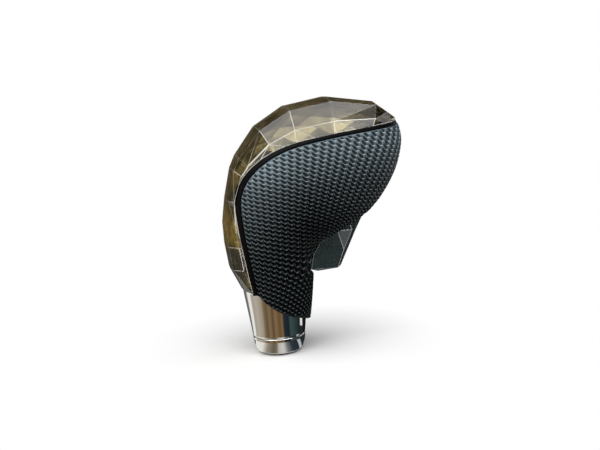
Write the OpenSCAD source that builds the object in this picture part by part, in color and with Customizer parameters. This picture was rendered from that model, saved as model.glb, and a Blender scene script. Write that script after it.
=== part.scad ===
// Gear shift knob of an automatic car: a leather grip with a cut crystal cover on its back and top,
// a plated collar at the foot and a crystal release button in the crook under the head.
// Millimetres. X runs forward (the head's overhang), Y to the left, Z up along the gear lever.
// The origin is on the lever's axis, in the plane of the collar's lower end.

/* [Grip body] */
// width of the grip at its widest place
grip_width = 45; // [40:0.5:50]
// fullness of the horizontal sections: 2 is an ellipse
fullness = 2.3; // [2:0.1:3]
// thickness of the leather
leather_thick = 1.2; // [0.8:0.1:1.8]
// wall of the two grip shells
shell_thick = 1.8; // [1.2:0.1:2.4]
// height of the leather's lower edge at the front
leather_foot = 12.4; // [11:0.2:15]
// glue gap between leather and shell
glue_gap = 0.15; // [0.05:0.05:0.3]

/* [Trim and crystal] */
// width of the black strip between the leather and the crystal
strip_width = 1.5; // [1:0.1:2.2]
// depth of the strip into the grip
strip_depth = 2.2; // [1.6:0.1:2.6]
// height of the shoulder line, as a share of the crystal's height
shoulder_share = 0.43; // [0.3:0.01:0.55]
// height of the ridge line, as a share of the crystal's height
ridge_share = 0.93; // [0.8:0.01:0.98]
// height of the hollow under the crystal, as a share of its height
hollow_share = 0.65; // [0.4:0.01:0.7]
// wall of the plated tray under the crystal
tray_wall = 1.1; // [0.8:0.1:1.6]

/* [Button] */
// how far the button can be pressed
button_travel = 4.5; // [3:0.1:5]
// width of the button's cap
cap_width = 18.8; // [16:0.2:19]
// gap between the cap and the leather's window at each side
cap_gap = 0.7; // [0.4:0.1:1.2]
// how far the pusher goes down for each millimetre of the button
ramp_rate = 0.6; // [0.3:0.05:0.8]
// width of the slide's tongue
tongue_width = 9; // [7:0.2:10]
// running gap of the slide and the pusher
running_gap = 0.06; // [0.03:0.01:0.1]

/* [Core and lever] */
// outside radius of the core's tube
tube_r = 9.2; // [8.5:0.1:9.6]
// wall radius of the insert's hole, tapped for an M8 lever
thread_r = 3.4; // [3.3:0.05:3.6]
// length of the threaded insert
insert_length = 16; // [12:0.5:18]
// outside radius of the insert
insert_r = 6; // [5.4:0.1:6.4]
// radius of the lever's way up to the insert
lever_way_r = 6.6; // [6.4:0.1:7]

/* [Collar] */
// room between the core's tube and the collar's sleeve at the crease
collar_room = 0.9; // [0.7:0.05:1.3]
// height of the crease
crease_z = 7.5; // [6:0.5:9]
// how much wider the collar is at its top than at the crease, in radius
collar_flare = 2.8; // [2.2:0.1:3]
// wall of the collar's sleeve
sleeve_wall = 1.1; // [0.8:0.1:1.4]
// radius of the hole for the lever in the end ring
collar_bore_r = 6.5; // [6:0.1:7]

/* [Hidden] */
$fn = 48;

// The collar flares evenly from the crease up.
crease_r = tube_r + collar_room + sleeve_wall;
flare_height = 21.5;
function collar_r(z) = crease_r + collar_flare * (z - crease_z) / flare_height;

// Lines of the grip's side view and its half width, each against height. Around the collar they
// are given as a distance from it.
function off_collar(p, side = 1) = [for (q = p) [q[0], side * (collar_r(q[0]) + q[1])]];
front_foot = [[8, 1.435], [22, 2.01]];
back_foot = [[8, 1.735], [22, 1.51], [31, 1.94]];
side_foot = [[8, 2.235], [18, 1.72], [25, 1.415]];
front_line = concat(off_collar(front_foot), [[36, 17], [43, 18.4], [47, 21.2], [49.5, 26.5], [52.5, 33.5],
    [57.7, 42.6], [64.5, 49.3], [74.6, 55.6], [85.5, 58.8], [93, 57.9], [98, 55]]);
back_line = concat(off_collar(back_foot, -1), [[42, -18], [56, -19], [68, -17.6], [80, -13.6],
    [89, -7], [98, 3]]);
half_share = [[33, 0.69], [43, 0.765], [53, 0.88], [63, 0.965], [74, 1], [84, 0.972], [93, 0.86],
    [98, 0.76]];
side_line = concat(off_collar(side_foot), [for (p = half_share) [p[0], p[1] * grip_width / 2]]);

// Value of a smooth line through given points.
function place(p, z, i = 0) = (i >= len(p) - 2 || z < p[i + 1][0]) ? i : place(p, z, i + 1);
function slope(p, i) = let (a = max(i - 1, 0), b = min(i + 1, len(p) - 1))
    (p[b][1] - p[a][1]) / (p[b][0] - p[a][0]);
function through(p, z) = let (
        i = place(p, z),
        h = p[i + 1][0] - p[i][0],
        t = min(max((z - p[i][0]) / h, 0), 1),
        s = t * t * (3 - 2 * t)
    ) p[i][1] * (1 - s) + p[i + 1][1] * s
        + h * t * (1 - t) * ((1 - t) * slope(p, i) - t * slope(p, i + 1));

function mid_x(z) = (through(front_line, z) + through(back_line, z)) / 2;
function half_x(z) = (through(front_line, z) - through(back_line, z)) / 2;
function half_y(z) = through(side_line, z);

// A point of the grip's surface at height z and angle t, counted from the front.
function skin_at(z, t) = let (r = pow(pow(abs(cos(t)) / half_x(z), fullness)
        + pow(abs(sin(t)) / half_y(z), fullness), -1 / fullness))
    [mid_x(z) + r * cos(t), r * sin(t), z];
function unit(v) = v / norm(v);
function outward(z, t) = unit(cross(skin_at(z, t + 0.5) - skin_at(z, t - 0.5),
    skin_at(z + 0.2, t) - skin_at(z - 0.2, t)));
function under(z, t, depth) = skin_at(z, t) - depth * outward(z, t);
// Half width of the surface where the side view shows x and z.
function half_at(x, z) = let (q = min(abs(x - mid_x(z)) / half_x(z), 1))
    half_y(z) * pow(1 - pow(q, fullness), 1 / fullness);

// The parting line between leather and crystal in the side view, as three Bezier pieces.
tip_z = 93;
tip_x = through(front_line, tip_z);
parting = [
    [[-10.2, 28.2], [-11.8, 40.2], [-14.4, 52], [-14.4, 65]],
    [[-14.4, 65], [-14.4, 79.3], [-1, 88.2], [12, 90.6]],
    [[12, 90.6], [25, 93], [44, 94], [tip_x, tip_z]]];
function bezier(b, t) = pow(1 - t, 3) * b[0] + 3 * t * pow(1 - t, 2) * b[1]
    + 3 * t * t * (1 - t) * b[2] + t * t * t * b[3];
// The last piece runs slower towards the tip, where the line turns around the grip's nose.
function part_at(u) = u < 1 ? bezier(parting[0], u) : u < 2 ? bezier(parting[1], u - 1)
    : bezier(parting[2], sin(90 * min(u - 2, 1)));
function part_way(u) = unit(part_at(min(u + 0.004, 2.999)) - part_at(max(min(u + 0.004, 2.999) - 0.008, 0)));
function part_out(u) = let (w = part_way(u)) [-w[1], w[0]];
// A point of the surface at a distance h from the parting line, towards the crystal.
function edge(u, h) = let (q = part_at(u) + h * part_out(u), x = min(q[0], through(front_line, q[1])))
    [x, half_at(x, q[1]), q[1]];
function part_angle(u) = let (e = edge(u, 0)) u >= 3 ? 0 : atan2(e[1], e[0] - mid_x(e[2]));

// Window of the button in the leather: heights at the front, and half width.
window_low = 33.2;
window_high = 56.4;
window_half = cap_width / 2 + cap_gap;

// Rows of a skin: the height at the front, and the place on the parting line that it runs to.
low_u = 0.3;
high_u = 0.95;
last_u = 2.975;
row_heights = [[0, 12], [low_u, window_low], [high_u, window_high], [1.55, 72], [2, 81.5], [2.45, 88.2],
    [2.8, 91.8], [3, tip_z]];
function steps(a, b, n) = [for (i = [0:n - 1]) a + (b - a) * i / n];
function row_at(u, foot) = [u < low_u ? foot + (window_low - foot) * u / low_u : through(row_heights, u), u];
function u_of(z, foot, a = 0, b = 3, n = 20) = let (m = (a + b) / 2)
    n == 0 ? m : row_at(m, foot)[0] > z ? u_of(z, foot, a, m, n - 1) : u_of(z, foot, m, b, n - 1);
function skin_rows(foot, low, high, counts) = let (a = u_of(low, foot), b = u_of(high, foot))
    [for (u = concat(steps(0, a, counts[0]), steps(a, b, counts[1]), steps(b, last_u, counts[2]), [last_u]))
        row_at(u, foot)];
function rise(s) = 0.55 * (sqrt(s * s + 0.01) - 0.1) / 0.905 + 0.45 * pow(s, 6);
// Angle and height of the point i of a row; columns up to `inner` span the window's half width.
function row_point(row, i, n, inner, half) = let (
        last = part_angle(row[1]),
        top = part_at(row[1])[1],
        zc = row[0] + (top - row[0]) * 0.12,
        q = pow(1 - pow(min(half / half_y(zc), 0.98), fullness), 1 / fullness),
        win = min(atan2(half, half_x(zc) * q), 0.5 * last),
        t = i <= inner ? win * i / inner : win + (last - win) * (i - inner) / (n - inner),
        s = last > 0 ? t / last : 0
    ) [t, row[0] + (top - row[0]) * rise(s)];

// Solid between two grids of points with the same rows and columns, with an optional window.
// skip = [first row, last row, first column, last column] of the quads that are left out.
function open_quad(j, i, skip) = !(j >= skip[0] && j < skip[1] && i >= skip[2] && i < skip[3]);
module sheet_solid(outer, inner, skip) {
    rows = len(outer);
    cols = len(outer[0]);
    base = rows * cols;
    used = [for (j = [0:rows - 2]) [for (i = [0:cols - 2]) open_quad(j, i, skip)]];
    function id(j, i) = j * cols + i;
    function full(j, i) = j < 0 || i < 0 || j > rows - 2 || i > cols - 2 ? false : used[j][i];
    faces = [for (j = [0:rows - 2], i = [0:cols - 2]) if (used[j][i]) each [
        [id(j, i), id(j + 1, i + 1), id(j, i + 1)],
        [id(j, i), id(j + 1, i), id(j + 1, i + 1)],
        [base + id(j, i), base + id(j, i + 1), base + id(j + 1, i + 1)],
        [base + id(j, i), base + id(j + 1, i + 1), base + id(j + 1, i)]]];
    walls = [for (j = [0:rows - 2], i = [0:cols - 2]) if (used[j][i]) each concat(
        full(j - 1, i) ? [] : wall(id(j, i), id(j, i + 1), base),
        full(j + 1, i) ? [] : wall(id(j + 1, i + 1), id(j + 1, i), base),
        full(j, i - 1) ? [] : wall(id(j + 1, i), id(j, i), base),
        full(j, i + 1) ? [] : wall(id(j, i + 1), id(j + 1, i + 1), base))];
    points = concat([for (r = outer) each r], [for (r = inner) each r]);
    polyhedron(points, concat(faces, walls));
}
function wall(a, b, base) = [[a, b, b + base], [a, b + base, a + base]];

/* Leather */
leather_rows = skin_rows(leather_foot, window_low, window_high, [8, 11, 21]);
leather_cols = 16;
leather_inner = 5;
function leather_grid(depth) = [for (r = leather_rows) [for (i = [-leather_cols:leather_cols])
    let (p = row_point(r, abs(i), leather_cols, leather_inner, window_half))
        under(p[1], sign(i) * p[0], depth)]];
module leather_wrap() {
    color([0.09, 0.10, 0.11])
        sheet_solid(leather_grid(0), leather_grid(leather_thick),
            [8, 19, leather_cols - leather_inner, leather_cols + leather_inner]);
}

/* Grip shells */
// The collar's top is cut by this plane, and the shells stand on it.
collar_cut_z = 24.1;
collar_cut_fall = 0.35;
shell_foot = 20.6;
shell_stand = 0.25;
shell_half = window_half + 2.2;
shell_rows = skin_rows(shell_foot, window_low - 1.4, window_high + 1, [4, 7, 12]);
shell_cols = 9;
shell_inner = 3;
seam_gap = 0.06;
function shell_grid(depth, side) = [for (r = shell_rows) [for (i = [0:shell_cols])
    let (
        p = row_point(r, i, shell_cols, shell_inner, shell_half),
        x = under(p[1], p[0], leather_thick + (p[0] > 90 ? 0 : 4))[0],
        z = max(p[1], collar_cut_z - collar_cut_fall * x + shell_stand + 0.02 * (r[1] - low_u)),
        q = under(z, side * p[0], depth)
    ) [q[0], side * max(side * q[1], seam_gap), q[2]]]];
function turned(g) = [for (r = g) [for (i = [len(r) - 1:-1:0]) r[i]]];
module grip_shell(side) {
    top = leather_thick + glue_gap;
    outer = shell_grid(top, side);
    inner = shell_grid(top + shell_thick, side);
    if (side > 0) sheet_solid(outer, inner, [4, 11, 0, shell_inner]);
    else sheet_solid(turned(outer), turned(inner), [4, 11, shell_cols - shell_inner, shell_cols]);
}
module left_grip_shell() {
    color([0.12, 0.12, 0.13]) grip_shell(1);
}
module right_grip_shell() {
    color([0.12, 0.12, 0.13]) grip_shell(-1);
}

/* Trim strip */
strip_low = 0.1;
strip_sunk = 0.15;
strip_round = 0.35;
strip_steps = 46;
strip_root = 1.2;
// Each corner: distance from the parting line, depth, and 1 where it goes in along the crystal's underside.
strip_section = [[strip_low, strip_depth, 0], [strip_low, strip_sunk + strip_round, 0],
    [strip_low + strip_round, strip_sunk, 0], [strip_low + strip_width - strip_round, strip_sunk, 1],
    [strip_low + strip_width, strip_sunk + strip_round, 1], [strip_low + strip_width, strip_root, 1]];
function inwards(u) = let (
        n = outward(edge(u, 0)[2], part_angle(u)),
        o = part_out(u),
        p = [o[0], 0, o[1]]
    ) unit(p * (n * p) - n);
function strip_points(u, side) = let (n = outward(edge(u, 0)[2], part_angle(u)), t = inwards(u))
    [for (q = strip_section) let (p = edge(u, q[0]) + q[1] * (q[2] > 0 ? t : -n)) [p[0], side * p[1], p[2]]];
module trim_strip() {
    m = len(strip_section);
    half = [for (k = [0:strip_steps]) 3 * k / strip_steps];
    rings = concat([for (u = half) strip_points(u, 1)],
        [for (k = [strip_steps - 1:-1:0]) strip_points(half[k], -1)]);
    n = len(rings);
    side_faces = [for (k = [0:n - 2], i = [0:m - 1]) let (j = (i + 1) % m) each [
        [k * m + i, k * m + j, (k + 1) * m + j],
        [k * m + i, (k + 1) * m + j, (k + 1) * m + i]]];
    ends = [[for (i = [m - 1:-1:0]) i], [for (i = [0:m - 1]) (n - 1) * m + i]];
    color([0.02, 0.02, 0.02])
        polyhedron([for (r = rings) each r], concat(side_faces, ends));
}

/* Crystal cover */
// Corners of the crown line in the side view, and the place on the parting line below each.
crown = [[-14.6, 29.2], [-18.8, 38.6], [-19.9, 48.8], [-20, 57.9], [-18.2, 68.4], [-14.9, 81.1],
    [-12.2, 86.2], [-3, 97.5], [10.4, 104.9], [28.3, 107], [48.1, 102.9],
    [53.2, 98.7], [57.2, 95.3]];
crown_foot = [0, 0.31, 0.585, 0.82, 1.07, 1.335, 1.455, 1.73, 1.97, 2.22, 2.48, 2.71,
    2.955];
crystal_rise = strip_low + strip_width + 0.36;
shoulder_in = 0.8;
ridge_in = 0.42;
shoulder_step = 0.25;
function crystal_height(k) = norm(crown[k] - part_at(crown_foot[k]));
function shoulder_height(k) = max(shoulder_share * crystal_height(k),
    min(crystal_rise + shoulder_step, (crystal_rise + ridge_share * crystal_height(k)) / 2));
function crystal_corner(k, y_share, high) = let (
        foot = part_at(crown_foot[k]),
        q = foot + high * unit(crown[k] - foot)
    ) [q[0], -y_share * edge(crown_foot[k], 0)[1], q[1]];
function end_edge(k) = let (
        foot = part_at(crown_foot[k]),
        q = foot + crystal_rise * unit(crown[k] - foot)
    ) [min(q[0], through(front_line, q[1])), -half_at(q[0], q[1]), q[1]];
// Corners of the lower edge: one below each corner of the crown, and one halfway to the next.
function edge_corner(k) = let (last = 2 * len(crown) - 2)
    k == 0 ? end_edge(0) : k == last ? end_edge(len(crown) - 1)
    : let (u = (crown_foot[floor(k / 2)] + crown_foot[ceil(k / 2)]) / 2, e = edge(u, crystal_rise))
        [e[0], -e[1], e[2]];
// Rim of the hollow, and the hollow's own shoulder, ridge and crown.
hollow_in = strip_depth + 0.35;
rim_width = 1.7;
hollow_first = 0.07;
hollow_last = 2.62;
hollow_end_step = 0.12;
hollow_steps = len(crown);
// Rows of the hollow, each halfway between two corners of the crown.
hollow_rows = [for (k = [0:hollow_steps]) k == 0 ? hollow_first : k == hollow_steps ? hollow_last
    : min((crown_foot[k - 1] + crown_foot[k]) / 2, hollow_last - hollow_end_step * (hollow_steps - k))];
function hollow_half(u) = min(edge(u, 0)[1] - hollow_in, edge(u, crystal_rise)[1] - rim_width);
function crown_top(u) = let (k = place([for (i = [0:len(crown_foot) - 1]) [crown_foot[i], i]], u),
        t = (u - crown_foot[k]) / (crown_foot[k + 1] - crown_foot[k]))
    crown[k] * (1 - t) + crown[k + 1] * t;
function hollow_corner(u, y_share, h_share, less) = let (
        foot = part_at(u),
        rise = crown_top(u) - foot,
        high = max(h_share * hollow_share * norm(rise), crystal_rise + 0.1) - less,
        q = foot + high * unit(rise)
    ) [q[0], -y_share * (hollow_half(u) - less), q[1]];
function hollow_edge(u, h, less) = let (
        foot = part_at(u),
        q = foot + h * unit(crown_top(u) - foot)
    ) [q[0], -(hollow_half(u) - less), q[1]];
function left(p) = [p[0], -p[1], p[2]];

module crystal_cover() {
    n = len(crown);
    edges = [for (k = [0:2 * n - 2]) edge_corner(k)];
    shoulders = [for (k = [0:n - 1]) crystal_corner(k, shoulder_in, shoulder_height(k))];
    ridges = [for (k = [0:n - 1]) crystal_corner(k, ridge_in, ridge_share * crystal_height(k))];
    tops = [for (k = [0:n - 1]) crystal_corner(k, 0, crystal_height(k))];
    m = hollow_steps;
    rims = [for (u = hollow_rows) hollow_edge(u, crystal_rise, 0)];
    in_shoulders = [for (u = hollow_rows) hollow_corner(u, shoulder_in, 0.62, 0)];
    in_ridges = [for (u = hollow_rows) hollow_corner(u, ridge_in, 0.93, 0)];
    in_tops = [for (u = hollow_rows) hollow_corner(u, 0, 1, 0)];
    // columns from right to left, outside first
    columns = [edges, shoulders, ridges, tops, [for (p = ridges) left(p)], [for (p = shoulders) left(p)],
        [for (p = edges) left(p)]];
    insides = [rims, in_shoulders, in_ridges, in_tops, [for (p = in_ridges) left(p)],
        [for (p = in_shoulders) left(p)], [for (p = rims) left(p)]];
    e = 2 * n - 1;
    starts = [0, e, e + n, e + 2 * n, e + 3 * n, e + 4 * n, e + 5 * n];
    base = 2 * e + 5 * n;
    function o(c, k) = starts[c] + k;
    function h(c, k) = base + c * (m + 1) + k;
    outer_faces = concat(
        [for (k = [0:n - 2]) each [
            [o(0, 2 * k), o(1, k), o(0, 2 * k + 1)],
            [o(0, 2 * k + 1), o(1, k), o(1, k + 1)],
            [o(0, 2 * k + 1), o(1, k + 1), o(0, 2 * k + 2)]]],
        [for (c = [1:4], k = [0:n - 2]) each [
            [o(c, k), o(c + 1, k), o(c + 1, k + 1)],
            [o(c, k), o(c + 1, k + 1), o(c, k + 1)]]],
        [for (k = [0:n - 2]) each [
            [o(5, k), o(6, 2 * k), o(6, 2 * k + 1)],
            [o(5, k), o(6, 2 * k + 1), o(5, k + 1)],
            [o(5, k + 1), o(6, 2 * k + 1), o(6, 2 * k + 2)]]],
        [[for (c = [6:-1:0]) o(c, 0)]],
        [concat([o(0, e - 1)], [for (c = [1:5]) o(c, n - 1)], [o(6, e - 1)])]);
    inner_faces = concat(
        [for (c = [0:5], k = [0:m - 1]) each [
            [h(c, k), h(c + 1, k + 1), h(c + 1, k)],
            [h(c, k), h(c, k + 1), h(c + 1, k + 1)]]],
        [[for (c = [0:6]) h(c, 0)]],
        [[for (c = [6:-1:0]) h(c, m)]]);
    // the flat underside between the outer edge and the hollow's rim
    floor_faces = concat(
        [for (k = [0:n - 1]) each [
            [o(0, 2 * k), h(0, k + 1), h(0, k)],
            [o(6, 2 * k), h(6, k), h(6, k + 1)]]],
        [for (k = [0:n - 2]) each [
            [o(0, 2 * k), o(0, 2 * k + 1), h(0, k + 1)],
            [o(0, 2 * k + 1), o(0, 2 * k + 2), h(0, k + 1)],
            [o(6, 2 * k), h(6, k + 1), o(6, 2 * k + 1)],
            [o(6, 2 * k + 1), h(6, k + 1), o(6, 2 * k + 2)]]],
        [[o(0, 0), h(0, 0), h(6, 0), o(6, 0)], [o(0, e - 1), o(6, e - 1), h(6, m), h(0, m)]]);
    color([0.45, 0.42, 0.33, 0.7])
        polyhedron(concat([for (c = columns) each c], [for (c = insides) each c]),
            concat(outer_faces, inner_faces, floor_faces));
}

/* Crystal tray */
tray_gap = 0.15;
tray_low = 0.12;
tray_inset = 0.15;
function tray_row(u, less, low) = let (
        right = [hollow_edge(u, low, less), hollow_edge(u, crystal_rise - less / 2, less),
            hollow_corner(u, shoulder_in, 0.62, less), hollow_corner(u, ridge_in, 0.93, less)]
    ) concat(right, [hollow_corner(u, 0, 1, less)], [for (i = [3:-1:0]) left(right[i])]);
// The end rows lie on the hollow's own facets, a little way in.
function tray_grid(less, low) = let (
        m = hollow_steps,
        rows = [for (u = hollow_rows) tray_row(u, less, low)]
    ) [for (k = [0:m]) k == 0 ? rows[0] * (1 - tray_inset) + rows[1] * tray_inset
        : k == m ? rows[m] * (1 - tray_inset) + rows[m - 1] * tray_inset : rows[k]];
module crystal_tray() {
    color([0.55, 0.52, 0.42])
        sheet_solid(tray_grid(tray_gap + tray_wall, tray_low), tray_grid(tray_gap, tray_low), [0, 0, 0, 0]);
}

/* Collar */
ring_bottom_r = collar_bore_r + 0.9;
ring_land = 3.5;
ring_inner_r = tube_r + 0.5;
ring_gap = 0.05;
ring_arc = 14;
collar_top_z = collar_cut_z + collar_cut_fall * (crease_r + collar_flare) + 1;
sleeve_round = 0.35;

// Plated sleeve, a turned cone whose top is cut slantwise under the leather's edge.
module collar_sleeve() {
    low = crease_z + ring_gap;
    color([0.75, 0.73, 0.70])
        difference() {
            rotate_extrude($fn = 96) polygon([
                [collar_r(low) - sleeve_wall, low], [collar_r(low) - sleeve_round, low],
                [collar_r(low + sleeve_round), low + sleeve_round],
                [collar_r(collar_top_z), collar_top_z],
                [collar_r(collar_top_z) - sleeve_wall, collar_top_z]]);
            translate([0, 0, collar_cut_z]) rotate([0, atan(collar_cut_fall), 0])
                translate([-40, -40, 0]) cube([80, 80, 40]);
        }
}

// Rounded end ring under the sleeve, with the hole that the lever comes through.
module collar_end_ring() {
    top = crease_z - ring_gap;
    color([0.75, 0.73, 0.70])
        rotate_extrude($fn = 96) polygon(concat(
            [for (k = [0:ring_arc]) let (t = 90 * k / ring_arc)
                [ring_bottom_r + (crease_r - ring_bottom_r) * sin(t), top * (1 - cos(t))]],
            [[ring_inner_r, top], [ring_inner_r, ring_land + 1.2], [ring_inner_r - 1.2, ring_land],
                [collar_bore_r, ring_land], [collar_bore_r, 0.4], [collar_bore_r + 0.4, 0]]));
}

// Plastic bush that centres the sleeve on the core's tube.
liner_low = 9.6;
liner_top = 13.4;
liner_ribs = 8;
module collar_liner() {
    color([0.14, 0.14, 0.15])
        difference() {
            rotate_extrude($fn = 96) polygon([
                [tube_r + running_gap, liner_low],
                [collar_r(liner_low) - sleeve_wall - running_gap, liner_low],
                [collar_r(liner_top) - sleeve_wall - running_gap, liner_top],
                [tube_r + running_gap, liner_top]]);
            for (k = [0:liner_ribs - 1]) rotate([0, 0, (k + 0.5) * 360 / liner_ribs])
                translate([tube_r + 0.7, -1.6, liner_low + 1.2]) cube([4, 3.2, liner_top]);
        }
}

// Spring clip in the core's groove that holds the bush and the sleeve up.
clip_low = 8.1;
clip_thick = 1;
clip_in = 0.7;
clip_reach = 0.75;
clip_mouth = 7;
module collar_clip() {
    color([0.35, 0.35, 0.36])
        difference() {
            translate([0, 0, clip_low]) cylinder(r = tube_r + clip_reach, h = clip_thick, $fn = 96);
            translate([0, 0, clip_low - 1])
                cylinder(r = tube_r - clip_in + running_gap, h = clip_thick + 2, $fn = 96);
            translate([0, -clip_mouth / 2, clip_low - 1]) cube([20, clip_mouth, clip_thick + 2]);
        }
}

/* Core */
tube_low = 7.7;
insert_z = 24;
insert_top = insert_z + insert_length;
spring_well_r = 5.2;
pusher_r = 2.5;
pusher_flange_r = 4.9;
well_top = insert_top + 9;
floor_z = 57.92;
channel_back = -11.9;
channel_front = 13;
wall_back = -13.4;
wall_half = 8.4;
rear_half = 5.4;
tongue_low = floor_z + running_gap;
tongue_height = 8;
cover_z = tongue_low + tongue_height + running_gap;
cover_thick = 1.6;
half_channel = tongue_width / 2 + running_gap;
frame_nose = 50;
rib_thick = 1.6;
rib_round = 3;
spine_thick = 2.4;
pin_r = 1;
pin_x = 9;
pin_z = 62;
screw_r = 1;
screw_spots = [[-9.8, 1], [-9.8, -1], [10.8, 1], [10.8, -1]];
screw_y = 6.6;
stiff_ring_z = [25, 29.5];
stiff_ring_r = collar_r(stiff_ring_z[0]) - sleeve_wall - 1.08;

function rib_half(x) = x < 0 ? 13 : x < 30 ? 15.5 : 13;
module round_rib(x, low, high, half) {
    r = rib_round;
    translate([x - rib_thick / 2, 0, 0]) rotate([90, 0, 90]) linear_extrude(rib_thick) union() {
        translate([-half, low + r]) square([2 * half, high - low - 2 * r]);
        translate([-half + r, low]) square([2 * half - 2 * r, high - low]);
        for (s = [-1, 1], z = [low + r, high - r]) translate([s * (half - r), z]) circle(r = r);
    }
}

module core_frame() {
    color([0.20, 0.20, 0.21])
        difference() {
            union() {
                translate([0, 0, tube_low]) cylinder(r = tube_r, h = floor_z - tube_low, $fn = 96);
                for (z = stiff_ring_z) translate([0, 0, z]) cylinder(r = stiff_ring_r, h = 1.4, $fn = 96);
                // block with the slide's channel
                translate([wall_back, -wall_half, 49])
                    cube([channel_front - wall_back, 2 * wall_half, cover_z - 49]);
                // rear wall, spine and ribs that the two shells are glued to
                rotate([90, 0, 0]) translate([0, 0, -rear_half]) linear_extrude(2 * rear_half)
                    polygon([[wall_back, 49], [channel_back, 49], [channel_back, 70], [-8.4, 75.2],
                        [-9.8, 75.8], [-12.5, 70.6], [wall_back, 66]]);
                rotate([90, 0, 0]) translate([0, 0, -spine_thick / 2]) linear_extrude(spine_thick)
                    polygon([[-12.2, 71], [frame_nose - 8, 71], [frame_nose, 76], [frame_nose, 86],
                        [20, 86], [-2, 79], [-9.8, 75.6]]);
                round_rib(-1, 71, 79, rib_half(-1));
                round_rib(20, 71, 86, rib_half(20));
                round_rib(40, 71, 86, rib_half(40));
            }
            // lever's way, threaded insert's seat, spring well and pusher's guide
            translate([0, 0, tube_low - 1]) cylinder(r = lever_way_r, h = insert_z - tube_low + 1);
            translate([0, 0, insert_z - 1]) cylinder(r = insert_r + 0.02, h = insert_length + 1);
            translate([0, 0, insert_top - 1]) cylinder(r = spring_well_r, h = well_top - insert_top + 1);
            translate([0, 0, insert_top])
                cylinder(r = pusher_r + running_gap, h = floor_z - insert_top + 1, $fn = 60);
            // slide's channel, open at the front and at the top
            translate([channel_back, -half_channel, floor_z])
                cube([60, 2 * half_channel, cover_z - floor_z + 0.01]);
            translate([0, 0, pin_z]) rotate([90, 0, 0])
                translate([pin_x, 0, -wall_half - 1]) cylinder(r = pin_r + 0.02, h = 2 * wall_half + 2);
            for (s = screw_spots) translate([s[0], s[1] * screw_y, cover_z - 5])
                cylinder(r = screw_r + 0.02, h = 6);
            // groove for the collar's clip
            translate([0, 0, clip_low - running_gap]) difference() {
                cylinder(r = tube_r + 3, h = clip_thick + 2 * running_gap, $fn = 96);
                translate([0, 0, -1]) cylinder(r = tube_r - clip_in, h = clip_thick + 3, $fn = 96);
            }
        }
}

// Brass insert with two knurled bands, for the lever's thread.
insert_band = 4.5;
knurl_count = 24;
knurl_r = 0.35;
module threaded_insert() {
    color([0.72, 0.58, 0.30])
        difference() {
            translate([0, 0, insert_z]) cylinder(r = insert_r, h = insert_length, $fn = 72);
            translate([0, 0, insert_z - 1]) cylinder(r = thread_r, h = insert_length + 2, $fn = 72);
            translate([0, 0, insert_z - 0.01]) cylinder(r1 = thread_r + 0.8, r2 = thread_r, h = 0.8);
            for (z = [insert_z + 1, insert_top - 1 - insert_band], k = [0:knurl_count - 1])
                rotate([0, 0, k * 360 / knurl_count]) translate([insert_r + 0.1, 0, z])
                    cylinder(r = knurl_r, h = insert_band, $fn = 16);
            translate([0, 0, insert_z + insert_length / 2 - 1.2]) difference() {
                cylinder(r = insert_r + 1, h = 2.4);
                translate([0, 0, -1]) cylinder(r = insert_r - 0.7, h = 5);
            }
        }
}

// Plate that closes the slide's channel, with four pan-head screws.
module slide_cover() {
    color([0.20, 0.20, 0.21])
        difference() {
            translate([channel_back + 0.05, -wall_half, cover_z + 0.02])
                cube([channel_front - channel_back - 0.05, 2 * wall_half, cover_thick]);
            for (s = screw_spots) translate([s[0], s[1] * screw_y, cover_z - 1])
                cylinder(r = screw_r + 0.1, h = cover_thick + 2);
            translate([channel_back + 4, -2.5, cover_z - 1]) cube([8, 5, cover_thick + 2]);
        }
}
screw_head_r = 1.7;
screw_head = 1.2;
cross_wide = 0.5;
cross_deep = 0.7;
module cover_screws() {
    z = cover_z + 0.02 + cover_thick + 0.02;
    color([0.45, 0.45, 0.46])
        for (s = screw_spots) translate([s[0], s[1] * screw_y, z]) difference() {
            union() {
                cylinder(r = screw_head_r, h = screw_head);
                translate([0, 0, -5.4]) cylinder(r = screw_r, h = 5.5);
            }
            for (a = [0, 90]) rotate([0, 0, a])
                translate([-1.1, -cross_wide / 2, screw_head - cross_deep]) cube([2.2, cross_wide, 2]);
        }
}

/* Release button */
// Corners of the cap's three lines: x, z and the share of the half width at which they lie.
cap_rim = [[14.2, 35.6, 1], [15.8, 42.4, 1], [19.2, 47, 1], [26.8, 51, 1], [32.2, 53.8, 1], [37.6, 56.6, 1]];
cap_shoulder = [[17.6, 34, 0.68], [26.6, 34.2, 0.66], [28.3, 38.2, 0.66], [29.8, 41.8, 0.66],
    [34.4, 49.6, 0.46], [38.8, 56.2, 0.5]];
cap_front = [[18.6, 33.9, 0.16], [29, 34, 0.16], [31.4, 38.6, 0.16], [33.4, 42.4, 0.16], [36.8, 49, 0.16],
    [40.6, 55.6, 0.16]];
module button_cap() {
    half = cap_width / 2;
    n = len(cap_rim);
    lines = [[cap_rim, -1], [cap_shoulder, -1], [cap_front, -1], [cap_front, 1], [cap_shoulder, 1], [cap_rim, 1]];
    points = [for (l = lines, p = l[0]) [p[0], l[1] * p[2] * half, p[1]]];
    function id(c, k) = c * n + k;
    faces = concat(
        [for (c = [0:4], k = [0:n - 2]) each [
            [id(c, k), id(c + 1, k + 1), id(c + 1, k)],
            [id(c, k), id(c, k + 1), id(c + 1, k + 1)]]],
        [for (k = [0:n - 2]) [id(5, k), id(5, k + 1), id(0, k + 1), id(0, k)]],
        [[for (c = [0:5]) id(c, 0)], [for (c = [5:-1:0]) id(c, n - 1)]]);
    color([0.10, 0.12, 0.12, 0.8]) polyhedron(points, faces);
}

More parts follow.
